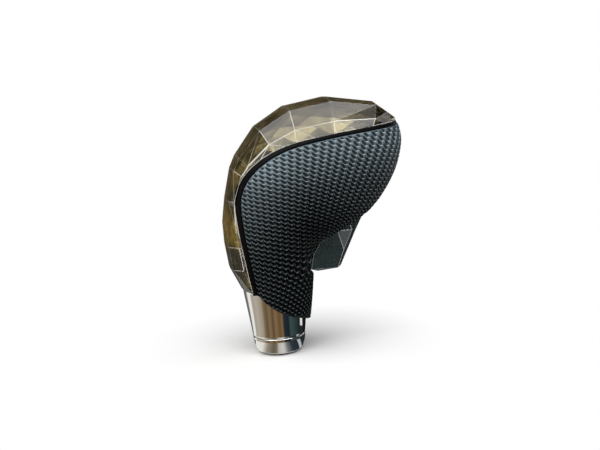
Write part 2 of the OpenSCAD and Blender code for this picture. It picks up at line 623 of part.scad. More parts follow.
// Slide behind the cap: a foot that the cap is bonded to, and the tongue with the ramp.
tongue_back = -4;
tongue_front = 35;
foot_half = 5.5;
ball_z = 57.9;
ramp_zero = ball_z + (pusher_r + running_gap) / cos(atan(ramp_rate));
module button_slide() {
    g = 0.12;
    color([0.16, 0.16, 0.17])
        difference() {
            union() {
                translate([tongue_back, -tongue_width / 2, tongue_low])
                    cube([tongue_front - tongue_back, tongue_width, tongue_height]);
                rotate([90, 0, 0]) translate([0, 0, -foot_half]) linear_extrude(2 * foot_half)
                    polygon([[19.3, cap_rim[2][1] + g], [26.8 - g * 0.6, 51 + g], [36.4, 56.1 + g],
                        [tongue_front, tongue_low + 4], [24, tongue_low + 4], [19.3, tongue_low]]);
            }
            // ramp over the pusher's round nose
            rotate([90, 0, 0]) translate([0, 0, -tongue_width]) linear_extrude(2 * tongue_width)
                polygon([[tongue_back - 1, tongue_low - 1], [tongue_back - 1, ramp_zero + 1.4],
                    [-1.4 / ramp_rate, ramp_zero + 1.4],
                    [(ramp_zero - tongue_low + 1) / ramp_rate, tongue_low - 1]]);
            // slot for the stop pin
            translate([pin_x, 0, pin_z]) rotate([90, 0, 0]) translate([0, 0, -tongue_width]) union() {
                cylinder(r = pin_r + running_gap, h = 2 * tongue_width);
                translate([button_travel + 0.02, 0, 0]) cylinder(r = pin_r + running_gap, h = 2 * tongue_width);
                translate([0, -pin_r - running_gap, 0])
                    cube([button_travel + 0.02, 2 * (pin_r + running_gap), 2 * tongue_width]);
            }
        }
}

// A wound spring as a row of rings joined by short wires, along Z from 0.
module coil(mean_r, wire_r, length, turns) {
    pitch = (length - 2 * wire_r) / turns;
    for (k = [0:turns]) translate([0, 0, wire_r + k * pitch])
        rotate_extrude($fn = 40) translate([mean_r, 0]) circle(r = wire_r, $fn = 14);
    for (k = [0:turns - 1]) rotate([0, 0, 180 * k]) translate([mean_r, 0, wire_r + k * pitch])
        cylinder(r = wire_r * 0.8, h = pitch, $fn = 14);
}
button_spring_z = tongue_low + tongue_height - 3.4;
module button_spring() {
    color([0.55, 0.55, 0.56])
        translate([channel_back + 0.05, 0, button_spring_z]) rotate([0, 90, 0])
            coil(2.5, 0.28, tongue_back - channel_back - 0.1, 4);
}

module stop_pin() {
    color([0.55, 0.55, 0.56])
        translate([pin_x, 0, pin_z]) rotate([90, 0, 0])
            translate([0, 0, -wall_half + 0.2]) cylinder(r = pin_r, h = 2 * wall_half - 0.4);
}

// Rubber block that the slide's foot comes to rest on.
bumper_thick = 1.3;
module stop_bumper() {
    color([0.05, 0.05, 0.05])
        translate([channel_front + 0.03, -4.5, 50]) difference() {
            cube([bumper_thick, 9, 6.5]);
            translate([-1, 4.5, 3.25]) rotate([0, 90, 0]) cylinder(r = 1.2, h = 4);
        }
}

/* Detent pusher */
flange_top = well_top - 0.1;
flange_thick = 1.6;
pin_reach = insert_top + 2.4;
module detent_pusher() {
    color([0.62, 0.62, 0.63])
        union() {
            translate([0, 0, flange_top - flange_thick])
                cylinder(r = pusher_flange_r, h = flange_thick, $fn = 60);
            translate([0, 0, flange_top - 0.5]) cylinder(r = pusher_r, h = ball_z - flange_top + 0.5, $fn = 60);
            translate([0, 0, ball_z]) sphere(r = pusher_r, $fn = 60);
            translate([0, 0, pin_reach]) cylinder(r = 2.2, h = flange_top - pin_reach - 0.5, $fn = 48);
            translate([0, 0, pin_reach]) sphere(r = 2.2, $fn = 48);
        }
}
module pusher_spring() {
    color([0.55, 0.55, 0.56])
        translate([0, 0, insert_top + 0.05])
            coil(4.2, 0.3, flange_top - flange_thick - insert_top - 0.1, 4);
}

core_frame();
slide_cover();
cover_screws();
threaded_insert();
left_grip_shell();
right_grip_shell();
leather_wrap();
trim_strip();
crystal_cover();
crystal_tray();
collar_sleeve();
collar_end_ring();
collar_liner();
collar_clip();
button_cap();
button_slide();
button_spring();
stop_pin();
stop_bumper();
detent_pusher();
pusher_spring();
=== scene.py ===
import math
import bpy
import bmesh
import numpy as np
from mathutils import Matrix, Vector


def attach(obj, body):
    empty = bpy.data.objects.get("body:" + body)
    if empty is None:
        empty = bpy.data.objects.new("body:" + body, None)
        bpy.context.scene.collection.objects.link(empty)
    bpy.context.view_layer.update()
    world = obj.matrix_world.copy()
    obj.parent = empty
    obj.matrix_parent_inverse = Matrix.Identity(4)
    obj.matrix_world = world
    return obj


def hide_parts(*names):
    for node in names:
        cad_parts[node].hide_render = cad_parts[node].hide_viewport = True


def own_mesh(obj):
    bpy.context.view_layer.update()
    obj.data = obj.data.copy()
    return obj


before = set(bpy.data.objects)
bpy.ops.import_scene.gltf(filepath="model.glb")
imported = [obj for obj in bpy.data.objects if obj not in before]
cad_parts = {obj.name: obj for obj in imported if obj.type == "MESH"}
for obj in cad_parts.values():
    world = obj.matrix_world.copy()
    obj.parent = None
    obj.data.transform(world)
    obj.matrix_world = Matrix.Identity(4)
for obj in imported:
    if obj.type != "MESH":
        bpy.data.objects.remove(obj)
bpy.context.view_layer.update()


# Core frame, slide cover and collar liner
# Black glass-filled nylon. The core is moulded in one piece: the tube over the lever, the channel of the
# button's slide, and a spine with ribs that the two shells are glued to. It stays as it left the mould.
MM = 0.001
NUMBER = "NodeSocketFloat"


def node(tree, kind, **values):
    """Adds a shader node. A value that is none of its properties goes to the input of that name."""
    new = tree.nodes.new(kind)
    for label, value in values.items():
        if hasattr(new, label):
            setattr(new, label, value)
        else:
            new.inputs[label.replace("_", " ")].default_value = value
    return new


def chain(tree, value, *steps):
    """Runs a value through math nodes. A step is an operation with its further numbers or sockets."""
    for operation, *others in steps:
        new = node(tree, "ShaderNodeMath", operation=operation)
        for place, given in enumerate([value] + others):
            if isinstance(given, (int, float)):
                new.inputs[place].default_value = given
            else:
                tree.links.new(given, new.inputs[place])
        value = new.outputs[0]
    return value


def group(name, inputs, outputs, build):
    """Makes a node group from its inputs (name, kind, value), its outputs (name, kind) and its nodes."""
    tree = bpy.data.node_groups.new(name, "ShaderNodeTree")
    for label, kind, value in inputs:
        tree.interface.new_socket(label, in_out="INPUT", socket_type=kind).default_value = value
    for label, kind in outputs:
        tree.interface.new_socket(label, in_out="OUTPUT", socket_type=kind)
    start, end = tree.nodes.new("NodeGroupInput"), tree.nodes.new("NodeGroupOutput")
    build(tree, start.outputs, end.inputs)
    return tree


def even_finish(tree, given, result):
    """Roughness that varies in soft patches around a middle value, and a fine grain for the bump."""
    at = node(tree, "ShaderNodeTexCoord")
    patches = node(tree, "ShaderNodeTexNoise", Detail=4.0)
    grain = node(tree, "ShaderNodeTexNoise", Detail=2.0)
    for noise, scale in ((patches, "Patch Scale"), (grain, "Grain Scale")):
        tree.links.new(at.outputs["Object"], noise.inputs["Vector"])
        tree.links.new(given[scale], noise.inputs["Scale"])
    rough = chain(tree, patches.outputs["Fac"], ("SUBTRACT", 0.5),
                  ("MULTIPLY_ADD", given["Spread"], given["Roughness"]))
    tree.links.new(rough, result["Roughness"])
    tree.links.new(grain.outputs["Fac"], result["Height"])
    tree.links.new(patches.outputs["Fac"], result["Patches"])


EVEN_FINISH = group("even_finish",
                    [("Roughness", NUMBER, 0.4), ("Spread", NUMBER, 0.15),
                     ("Patch Scale", NUMBER, 60.0), ("Grain Scale", NUMBER, 3000.0)],
                    [("Roughness", NUMBER), ("Height", NUMBER), ("Patches", NUMBER)], even_finish)


def new_material(name, colour, metal=0.0, **values):
    """A material of one colour; the further values go to the shader's own inputs."""
    material = bpy.data.materials.new(name)
    material.use_nodes = True
    shader = material.node_tree.nodes["Principled BSDF"]
    shader.inputs["Base Color"].default_value = (*colour, 1)
    shader.inputs["Metallic"].default_value = metal
    for label, value in values.items():
        shader.inputs[label.replace("_", " ")].default_value = value
    return material


def add_finish(material, rough, spread, patch, grain, depth):
    """Gives a material the even finish, with a bump of the given depth. Returns its group and its bump."""
    tree = material.node_tree
    shader = tree.nodes["Principled BSDF"]
    finish = node(tree, "ShaderNodeGroup", node_tree=EVEN_FINISH)
    for label, value in (("Roughness", rough), ("Spread", spread), ("Patch Scale", patch),
                         ("Grain Scale", grain)):
        finish.inputs[label].default_value = value
    bump = node(tree, "ShaderNodeBump", Strength=1.0, Distance=depth)
    tree.links.new(finish.outputs["Roughness"], shader.inputs["Roughness"])
    tree.links.new(finish.outputs["Height"], bump.inputs["Height"])
    tree.links.new(bump.outputs["Normal"], shader.inputs["Normal"])
    return finish, bump


def paint(names, material):
    """Gives carried-over pieces of the frame their material."""
    for name in names:
        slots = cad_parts[name].data.materials
        slots.clear()
        slots.append(material)


nylon = new_material("moulded_nylon", (0.028, 0.028, 0.030))
add_finish(nylon, 0.55, 0.15, 90, 2600, 0.04 * MM)
paint(["core_frame", "slide_cover", "collar_liner"], nylon)


# Threaded insert and steel parts
# A turned brass insert is pressed into the tube for the lever's thread. The pusher over it, the pin, the
# cover's screws and the clip are steel, with fine marks of the machine that cut them.
def lathe_marks(tree, given, result):
    """Fine rings around Z, for a bump."""
    at = node(tree, "ShaderNodeTexCoord")
    rings = node(tree, "ShaderNodeTexWave", bands_direction="Z", Distortion=0.6, Detail=2.0)
    tree.links.new(at.outputs["Object"], rings.inputs["Vector"])
    tree.links.new(given["Scale"], rings.inputs["Scale"])
    tree.links.new(rings.outputs["Fac"], result["Height"])


LATHE_MARKS = group("lathe_marks", [("Scale", NUMBER, 900.0)], [("Height", NUMBER)], lathe_marks)


def turned_metal(name, colour, rough):
    """Metal with the even finish and the marks of the lathe."""
    material = new_material(name, colour, 1.0)
    depth = 0.01 * MM
    tree, bump = material.node_tree, add_finish(material, rough, 0.12, 120, 2000, depth)[1]
    marks = node(tree, "ShaderNodeGroup", node_tree=LATHE_MARKS)
    cut = node(tree, "ShaderNodeBump", Strength=1.0, Distance=depth)
    tree.links.new(marks.outputs["Height"], cut.inputs["Height"])
    tree.links.new(bump.outputs["Normal"], cut.inputs["Normal"])
    tree.links.new(cut.outputs["Normal"], tree.nodes["Principled BSDF"].inputs["Normal"])
    return material


paint(["threaded_insert"], turned_metal("turned_brass", (0.74, 0.55, 0.26), 0.30))
paint(["detent_pusher", "stop_pin", "cover_screws", "collar_clip"],
      turned_metal("turned_steel", (0.58, 0.58, 0.59), 0.28))


# Pusher spring
# Wound steel wire with closed ends. It stands on the brass insert, around the pusher's stem, and lifts
# the pusher by its flange; the pusher presses it together by its stroke.
def mesh_piece(name, points, faces, material, smooth=True):
    """A piece from its points in millimetres and its faces, in its place and with its material."""
    mesh = bpy.data.meshes.new(name)
    mesh.from_pydata((np.asarray(points) * MM).tolist(), [], faces)
    mesh.validate()
    if smooth:
        mesh.shade_smooth()
    mesh.materials.append(material)
    piece = bpy.data.objects.new(name, mesh)
    bpy.context.scene.collection.objects.link(piece)
    return piece


def grid_faces(rows, cols, wrap=False, flip=False):
    """Faces of a grid of points, row after row; `wrap` closes each row."""
    faces = []
    for j in range(rows - 1):
        for i in range(cols if wrap else cols - 1):
            k = (i + 1) % cols
            face = [j * cols + i, j * cols + k, (j + 1) * cols + k, (j + 1) * cols + i]
            faces.append(face[::-1] if flip else face)
    return faces


STEPS_A_TURN, WIRE_SIDES = 44, 12


def wound_spring(name, mean_r, wire_r, length, coils, material):
    """A spring along Z from 0. Its first and last turn lie closed, with their ends ground flat."""
    count = STEPS_A_TURN * (coils + 2)
    turn = np.linspace(0, coils + 2, count)
    closed = 2 * wire_r * 0.98
    rise = length - 2 * wire_r - 2 * closed
    z = wire_r + np.interp(turn, [0, 1, coils + 1, coils + 2], [0, closed, closed + rise, 2 * closed + rise])
    around = 2 * math.pi * turn[:, None]
    section = 2 * math.pi * np.arange(WIRE_SIDES)[None, :] / WIRE_SIDES
    r = mean_r + wire_r * np.cos(section)
    points = np.stack([r * np.cos(around), r * np.sin(around),
                       z[:, None] + wire_r * np.sin(section) + 0 * around], -1).reshape(-1, 3)
    points[:, 2] = np.clip(points[:, 2], 0, length)
    last = (count - 1) * WIRE_SIDES
    ends = [list(range(WIRE_SIDES)), list(range(last, last + WIRE_SIDES))[::-1]]
    return mesh_piece(name, points, grid_faces(count, WIRE_SIDES, wrap=True) + ends, material)


spring_wire = new_material("spring_wire", (0.46, 0.46, 0.48), 1.0)
add_finish(spring_wire, 0.34, 0.12, 300, 2600, 0.004 * MM)
SEAT_Z, COIL_LENGTH, STROKE = 40.05, 7.2, 2.7
coil = wound_spring("pusher_coil", 4.2, 0.3, COIL_LENGTH, 4, spring_wire)
coil.data.transform(Matrix.Translation((0, 0, SEAT_Z * MM)))
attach(coil, "knob")
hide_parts("pusher_spring")
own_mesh(coil)


# Collar sleeve and end ring
# Turned brass with bright plating: a tapering sleeve whose slanted top goes under the leather, and a
# rounded end ring below it, with a fine open joint between the two.
CREASE_R, CREASE_Z, WIDE_R, WIDE_Z = 11.2, 7.5, 14.0, 29.0
CUT_Z, CUT_FALL, WALL, SLEEVE_END = 24.1, 0.35, 1.1, 30.2
HALF_JOINT, LIP_ROUND, RING_ROUND = 0.05, 0.35, 0.3
FOOT_R, SEAT_R, SEAT_Z, LEDGE_R, LEDGE_Z, HOLE_R = 7.4, 9.7, 4.7, 8.5, 3.5, 6.5


def turned_piece(name, outline, material, top=None, steps=160):
    """Turns an outline of (radius, height) around Z; `top` gives the height of a slanted cut at x."""
    around = np.linspace(0, 2 * math.pi, steps, endpoint=False)
    rings = []
    for r, z in outline:
        ring = np.stack([r * np.cos(around), r * np.sin(around), np.full(steps, z)], 1)
        if top is not None:
            ring[:, 2] = np.minimum(ring[:, 2], top(ring[:, 0]))
        rings.append(ring)
    return mesh_piece(name, np.concatenate(rings), grid_faces(len(outline), steps, wrap=True), material)


def sleeve_r(z):
    return CREASE_R + (WIDE_R - CREASE_R) * (z - CREASE_Z) / (WIDE_Z - CREASE_Z)


plating = new_material("bright_plating", (0.80, 0.785, 0.76), 1.0)
add_finish(plating, 0.07, 0.06, 160, 900, 0.0015 * MM)

low = CREASE_Z + HALF_JOINT
outline = [(sleeve_r(low) - WALL, low)]
outline += [(sleeve_r(low) - LIP_ROUND + LIP_ROUND * math.sin(t), low + LIP_ROUND - LIP_ROUND * math.cos(t))
            for t in np.linspace(0, math.pi / 2, 7)]
outline += [(sleeve_r(z), z) for z in np.linspace(low + 0.6, SLEEVE_END, 26)]
outline += [(sleeve_r(SLEEVE_END) - WALL, SLEEVE_END)]
outline += [(sleeve_r(z) - WALL, z) for z in np.linspace(30, low, 8)]
sleeve = turned_piece("collar_sleeve_skin", outline, plating, top=lambda x: CUT_Z - CUT_FALL * x)
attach(sleeve, "knob")
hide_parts("collar_sleeve")

# The ring's bowl, its rounded upper edge, and the stepped inside down to the lever's hole.
high = CREASE_Z - HALF_JOINT
outline = [(FOOT_R + (CREASE_R - FOOT_R) * math.sin(t), high * (1 - math.cos(t)))
           for t in np.linspace(0, math.pi / 2 * 0.965, 30)]
outline += [(CREASE_R - 0.02 - RING_ROUND * (1 - math.cos(t)), high - RING_ROUND * (1 - math.sin(t)))
            for t in np.linspace(0.2, math.pi / 2, 6)]
outline += [(SEAT_R, high), (SEAT_R, SEAT_Z), (LEDGE_R, LEDGE_Z), (HOLE_R + 0.02, LEDGE_Z),
            (HOLE_R, LEDGE_Z - 0.05), (HOLE_R, 0.4), (HOLE_R + 0.1, 0.15), (HOLE_R + 0.4, 0), (FOOT_R, 0)]
ring = turned_piece("collar_ring_skin", outline, plating)
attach(ring, "knob")
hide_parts("collar_end_ring")


# Grip shells
# Two moulded halves glued to the core's ribs and to each other. Only their edges show, in the gap
# around the button.
shell_plastic = new_material("shell_plastic", (0.030, 0.030, 0.032))
add_finish(shell_plastic, 0.5, 0.15, 90, 2200, 0.03 * MM)
paint(["left_grip_shell", "right_grip_shell"], shell_plastic)


# Leather grip
# Black leather, hot pressed with rows of small staggered scales, stretched over the shells and glued
# with its edges turned in: along the black strip, around the button's window and at the foot.
WIDTH, FULLNESS = 45.0, 2.3
# The knob's body: height with x at the front and at the back, and height with the share of half the width.
FRONT = np.array([[8, 12.7], [22, 15.1], [36, 17], [43, 18.4], [47, 21.2], [49.5, 26.5], [52.5, 33.5],
                  [57.7, 42.6], [64.5, 49.3], [74.6, 55.6], [85.5, 58.8], [93, 57.9], [98, 55]])
BACK = np.array([[8, -13], [22, -14.6], [31, -16.2], [42, -18], [56, -19], [68, -17.6], [80, -13.6],
                 [89, -7], [98, 3]])
HALF = np.array([[8, 0.6], [18, 0.635], [25, 0.662], [33, 0.69], [43, 0.765], [53, 0.88], [63, 0.965],
                 [74, 1], [84, 0.972], [93, 0.86], [98, 0.76]]) * [1, WIDTH / 2]


def through(line, z):
    """Value at z of the smooth line through the given points, as the solid has it."""
    z = np.asarray(z, float)
    k = np.arange(len(line))
    before, after = np.maximum(k - 1, 0), np.minimum(k + 1, len(line) - 1)
    slope = (line[after, 1] - line[before, 1]) / (line[after, 0] - line[before, 0])
    i = np.clip(np.searchsorted(line[:, 0], z, side="right") - 1, 0, len(line) - 2)
    gap = line[i + 1, 0] - line[i, 0]
    t = np.clip((z - line[i, 0]) / gap, 0, 1)
    s = t * t * (3 - 2 * t)
    bend = gap * t * (1 - t) * ((1 - t) * slope[i] - t * slope[i + 1])
    return line[i, 1] * (1 - s) + line[i + 1, 1] * s + bend


def mid_x(z):
    return (through(FRONT, z) + through(BACK, z)) / 2


def half_x(z):
    return (through(FRONT, z) - through(BACK, z)) / 2


def half_at(x, z):
    """Half the body's width at a point of the side view."""
    share = np.minimum(np.abs(x - mid_x(z)) / half_x(z), 1)
    return through(HALF, z) * (1 - share ** FULLNESS) ** (1 / FULLNESS)


def skin(z, angle):
    """Point of the body's surface at a height and an angle in degrees from the front."""
    c, s = np.cos(np.radians(angle)), np.sin(np.radians(angle))
    r = ((np.abs(c) / half_x(z)) ** FULLNESS + (np.abs(s) / through(HALF, z)) ** FULLNESS) ** (-1 / FULLNESS)
    return np.stack([mid_x(z) + r * c, r * s, z + 0 * r], -1)


def unit(vectors):
    return vectors / np.linalg.norm(vectors, axis=-1, keepdims=True)


def outward(z, angle):
    """Direction that points straight out of the body's surface."""
    around = skin(z, angle + 0.5) - skin(z, angle - 0.5)
    return unit(np.cross(around, skin(z + 0.2, angle) - skin(z - 0.2, angle)))


# The parting line between leather and crystal in the side view: three curves, from the foot to the nose.
TIP_Z = 93.0
PART = np.array([[[-10.2, 28.2], [-11.8, 40.2], [-14.4, 52], [-14.4, 65]],
                 [[-14.4, 65], [-14.4, 79.3], [-1, 88.2], [12, 90.6]],
                 [[12, 90.6], [25, 93], [44, 94], [float(through(FRONT, TIP_Z)), TIP_Z]]])


def part_at(u):
    """Point of the parting line; u runs from 0 at the foot to 3 at the nose."""
    u = np.asarray(u, float)
    k = np.clip(u.astype(int), 0, 2)
    t = np.where(k == 2, np.sin(np.radians(90 * np.clip(u - 2, 0, 1))), np.clip(u - k, 0, 1))[..., None]
    b = PART[k]
    return ((1 - t) ** 3 * b[..., 0, :] + 3 * t * (1 - t) ** 2 * b[..., 1, :]
            + 3 * t * t * (1 - t) * b[..., 2, :] + t ** 3 * b[..., 3, :])


def part_out(u):
    """Direction across the parting line, from the leather to the crystal."""
    ahead = np.minimum(np.asarray(u, float) + 0.004, 2.999)
    way = unit(part_at(ahead) - part_at(np.maximum(ahead - 0.008, 0)))
    return np.stack([-way[..., 1], way[..., 0]], -1)


def beside_part(u, out):
    """Point of the left side's surface, that far across the parting line."""
    q = part_at(u) + np.asarray(out)[..., None] * part_out(u)
    x = np.minimum(q[..., 0], through(FRONT, q[..., 1]))
    return np.stack([x, half_at(x, q[..., 1]), q[..., 1]], -1)


def part_angle(u):
    p = beside_part(u, 0.0)
    return np.where(np.asarray(u) >= 3, 0.0, np.degrees(np.arctan2(p[..., 1], p[..., 0] - mid_x(p[..., 2]))))


# The leather's grid: rows by the parting line's u, columns from the front to the parting line.
FOOT_Z, WINDOW_LOW, WINDOW_HIGH, WINDOW_HALF = 12.4, 33.2, 56.4, 10.1
LOW_U, HIGH_U, LAST_U = 0.3, 0.95, 2.975
FRONT_ROWS = np.array([[0, 12], [LOW_U, WINDOW_LOW], [HIGH_U, WINDOW_HIGH], [1.55, 72], [2, 81.5],
                       [2.45, 88.2], [2.8, 91.8], [3, TIP_Z]])
ROWS_BELOW, ROWS_BESIDE, ROWS_ABOVE = 44, 84, 168
WINDOW_COLS, SIDE_COLS = 34, 138


def grip_place(u, i):
    """Heights and angles of the grid's points at rows u and columns i, counted from the front."""
    front = np.where(u < LOW_U, FOOT_Z + (WINDOW_LOW - FOOT_Z) * u / LOW_U, through(FRONT_ROWS, u))
    last = part_angle(u)
    rise_to = part_at(u)[..., 1] - front
    z = front + rise_to * 0.12
    q = (1 - np.minimum(WINDOW_HALF / through(HALF, z), 0.98) ** FULLNESS) ** (1 / FULLNESS)
    window = np.minimum(np.degrees(np.arctan2(WINDOW_HALF, half_x(z) * q)), 0.5 * last)
    angle = np.where(i <= WINDOW_COLS, window * i / WINDOW_COLS,
                     window + (last - window) * (i - WINDOW_COLS) / (SIDE_COLS - WINDOW_COLS))
    # a row rises gently over the side, and steeply just before the parting line
    s = np.clip(angle / np.maximum(last, 1e-6), 0, 1)
    rise = 0.55 * (np.sqrt(s * s + 0.01) - 0.1) / 0.905 + 0.45 * s ** 6
    return front + rise_to * rise, angle


row_u = np.concatenate([np.linspace(0, LOW_U, ROWS_BELOW, endpoint=False),
                        np.linspace(LOW_U, HIGH_U, ROWS_BESIDE, endpoint=False),
                        np.linspace(HIGH_U, LAST_U, ROWS_ABOVE)])
side = np.arange(-SIDE_COLS, SIDE_COLS + 1)
rows, cols = len(row_u), len(side)
height, angle = grip_place(*np.meshgrid(row_u, np.abs(side), indexing="ij"))
grip = skin(height, angle)
normals = outward(height, angle)

# Distance of each point from the leather's nearest edge, for the turned-in edge and the flat margin.
TURN_IN, MARGIN, MARGIN_FADE = 0.7, 0.25, 0.7
step = np.linalg.norm(np.diff(grip, axis=1), axis=-1)
run = np.concatenate([np.zeros((rows, 1)), np.cumsum(step, axis=1)], 1)
step = np.linalg.norm(np.diff(grip, axis=0), axis=-1)
up = np.concatenate([np.zeros((1, cols)), np.cumsum(step, axis=0)], 0)
r0, r1 = ROWS_BELOW, ROWS_BELOW + ROWS_BESIDE
c0, c1 = SIDE_COLS - WINDOW_COLS, SIDE_COLS + WINDOW_COLS
past_side = np.maximum(run[:, c0:c0 + 1] - run, run - run[:, c1:c1 + 1])
past_row = np.maximum(up[r0:r0 + 1] - up, up - up[r1:r1 + 1])
from_window = np.where((past_side > 0) & (past_row > 0), np.hypot(past_side, past_row),
                       np.maximum(past_side, past_row))
from_edge = np.minimum.reduce([run, run[:, -1:] - run, up, up[-1:] - up, np.maximum(from_window, 0)])
near_edge = np.clip(TURN_IN - from_edge, 0, TURN_IN)
sunk = TURN_IN - np.sqrt(np.maximum(TURN_IN ** 2 - near_edge ** 2, 0))
fade = np.clip((from_edge - MARGIN) / MARGIN_FADE, 0, 1)
fade = fade * fade * (3 - 2 * fade)


def laid_flat(height, angle):
    """The x at which a point lies when the hide is rolled out flat from the knob's widest line."""
    low, high, turn, widest = 10, 96, 170, 90
    strips = skin(*np.meshgrid(np.arange(low, high + 1.0), np.arange(turn + 1.0), indexing="ij"))
    step = np.linalg.norm(np.diff(strips, axis=1), axis=-1)
    arc = np.concatenate([np.zeros((len(strips), 1)), np.cumsum(step, 1)], 1)
    arc = arc[:, widest:widest + 1] - arc
    z, t = np.clip(height - low, 0, high - low - 0.001), np.clip(angle, 0, turn - 0.001)
    j, i = z.astype(int), t.astype(int)
    z, t = z - j, t - i
    lower = arc[j, i] * (1 - t) + arc[j, i + 1] * t
    upper = arc[j + 1, i] * (1 - t) + arc[j + 1, i + 1] * t
    return lower * (1 - z) + upper * z + mid_x(height)


# The pressed scales are laid out on the flat hide: columns fan out from a point under the foot and are
# drawn together at the crook, and the scales of each column lean down towards the front.
FAN_X, FAN_Z, FAN_R = -12.0, -42.0, 112.0
CROOK_X, CROOK_Z, CROOK_PULL, CROOK_CORE = 26.0, 38.0, 95.0, 110.0
SCALE_W, SCALE_H, LEAN, FIRST_SCALE = 2.9, 1.85, 0.55, 40
HOOK_FROM, HOOK, PIT_SHIFT, PIT_FORM = 0.68, 0.9, 0.85, 0.7
RELIEF, PIT_SHARE = 0.38, 0.6
flat = laid_flat(height, angle)
away = np.maximum((flat - CROOK_X) ** 2 + (height - CROOK_Z) ** 2, CROOK_CORE)
fan_x = flat + (flat - CROOK_X) * CROOK_PULL / away - FAN_X
fan_z = height - (height - CROOK_Z) * CROOK_PULL / away - FAN_Z
along = np.arctan2(fan_x, fan_z) * FAN_R
scale_x = along / SCALE_W + FIRST_SCALE
scale_y = (np.hypot(fan_x, fan_z) + LEAN * along) / SCALE_H + FIRST_SCALE
a = scale_x - np.floor(scale_x)
b = scale_y + 0.5 * (np.floor(scale_x) % 2) - HOOK * np.maximum(a - HOOK_FROM, 0)
b = (b - np.floor(b)) ** PIT_SHIFT
pressed = 1 - np.maximum(1 - (2 * a - 1) ** 2 - (2 * b - 1) ** 2, 0) ** PIT_FORM
grip = grip + normals * (RELIEF * (pressed - PIT_SHARE) * fade - sunk)[..., None]
mirror = np.where(side == 0, 1, np.sign(side))
grip[..., 1] *= mirror
normals[..., 1] *= mirror

# Faces of the grid around the window, and one more row of points below every open edge.
TUCK = 0.9
keep = np.ones((rows - 1, cols - 1), bool)
keep[r0:r1, c0:c1] = False
j, i = np.nonzero(keep)
k = j * cols + i
faces = np.stack([k, k + 1, k + cols + 1, k + cols], 1)
sides = {(x, y) for q in faces.tolist() for x, y in zip(q, q[1:] + q[:1])}
rim = sorted((x, y) for x, y in sides if (y, x) not in sides)
rim_points = sorted({x for x, y in rim})
tucked = {x: rows * cols + n for n, x in enumerate(rim_points)}
faces = faces.tolist() + [[y, x, tucked[x], tucked[y]] for x, y in rim]
points = grip.reshape(-1, 3)
points = np.concatenate([points, points[rim_points] - TUCK * normals.reshape(-1, 3)[rim_points]])

# Painted light and shade: paler at the head, under the light from above, darker down the neck and in the
# hollow behind the button.
PAINTED_LIGHT_Z, PAINTED_LIGHT_LEVEL = [24, 41, 49, 57, 64, 72, 80, 87], [0.04, 0.06, 0.09, 0.17, 0.30, 0.42, 0.82, 1.0]
SHADE_X, SHADE_Z, SHADE_WIDE, SHADE_TALL, DEEPEST_SHADE = 15, 55, 15, 14, 0.97
off_x, off_z = (flat - SHADE_X) / SHADE_WIDE, (height - SHADE_Z) / SHADE_TALL
painted_light = np.interp(height, PAINTED_LIGHT_Z, PAINTED_LIGHT_LEVEL) * (1 - DEEPEST_SHADE * np.exp(-(off_x ** 2 + off_z ** 2) / 2))
# less painted light towards the front below the nose, more towards the back
painted_light *= 1 - 0.35 * np.clip((flat - 5) / 30, 0, 1) * np.clip((88 - height) / 8, 0, 1)
painted_light = np.minimum(painted_light * (0.8 + 0.45 * np.clip((8 - flat) / 20, 0, 1)), 1)


def pressed_scales(tree, given, result):
    """One pressed pit a cell, with a hooked front end; the net of ridges between the pits stands up. Masks
    for painted pit shade and rim highlight.
    """
    split = node(tree, "ShaderNodeSeparateXYZ")
    tree.links.new(given["Place"], split.inputs[0])
    x, y, fade = split.outputs
    shift = chain(tree, x, ("FLOOR",), ("MULTIPLY", 0.5), ("FRACT",))
    hook = chain(tree, x, ("FRACT",), ("SUBTRACT", HOOK_FROM), ("MAXIMUM", 0.0), ("MULTIPLY", HOOK))
    level = chain(tree, y, ("ADD", shift), ("SUBTRACT", hook), ("FRACT",), ("POWER", PIT_SHIFT))
    across = chain(tree, x, ("FRACT",), ("MULTIPLY_ADD", 2.0, -1.0), ("POWER", 2.0))
    radius = chain(tree, level, ("MULTIPLY_ADD", 2.0, -1.0), ("POWER", 2.0), ("ADD", across))
    pit = chain(tree, radius, ("MULTIPLY_ADD", -1.0, 1.0), ("MAXIMUM", 0.0), ("POWER", PIT_FORM))
    body = chain(tree, pit, ("MULTIPLY", fade), ("MULTIPLY_ADD", -1.0, 1.0))
    crest = chain(tree, body, ("SUBTRACT", given["Groove"]), ("MULTIPLY", 2.2), ("MAXIMUM", 0.0),
                  ("MINIMUM", 1.0))
    # a painted highlight on the lower rim of a pit, where light from above would catch it
    band = chain(tree, radius, ("SUBTRACT", 0.80), ("ABSOLUTE",), ("MULTIPLY_ADD", -2.6, 1.0),
                 ("MAXIMUM", 0.0))
    under = chain(tree, level, ("SUBTRACT", 0.46), ("MULTIPLY", -5.0), ("MAXIMUM", 0.0), ("MINIMUM", 1.0))
    tree.links.new(body, result["Height"])
    tree.links.new(crest, result["Crest"])
    tree.links.new(chain(tree, band, ("MULTIPLY", under), ("MULTIPLY", fade)), result["Rim"])


PRESSED_SCALES = group("pressed_scales",
                       [("Place", "NodeSocketVector", (0, 0, 0)), ("Groove", NUMBER, 0.30)],
                       [("Height", NUMBER), ("Crest", NUMBER), ("Rim", NUMBER)], pressed_scales)


def mix_colours(tree, share, first, second):
    """Mixes two colours, each a tuple or a socket, by a share that changes over the surface."""
    mix = node(tree, "ShaderNodeMix", data_type="RGBA")
    tree.links.new(share, mix.inputs[0])
    for place, colour in ((6, first), (7, second)):
        if isinstance(colour, tuple):
            mix.inputs[place].default_value = colour
        else:
            tree.links.new(colour, mix.inputs[place])
    return mix.outputs[2]
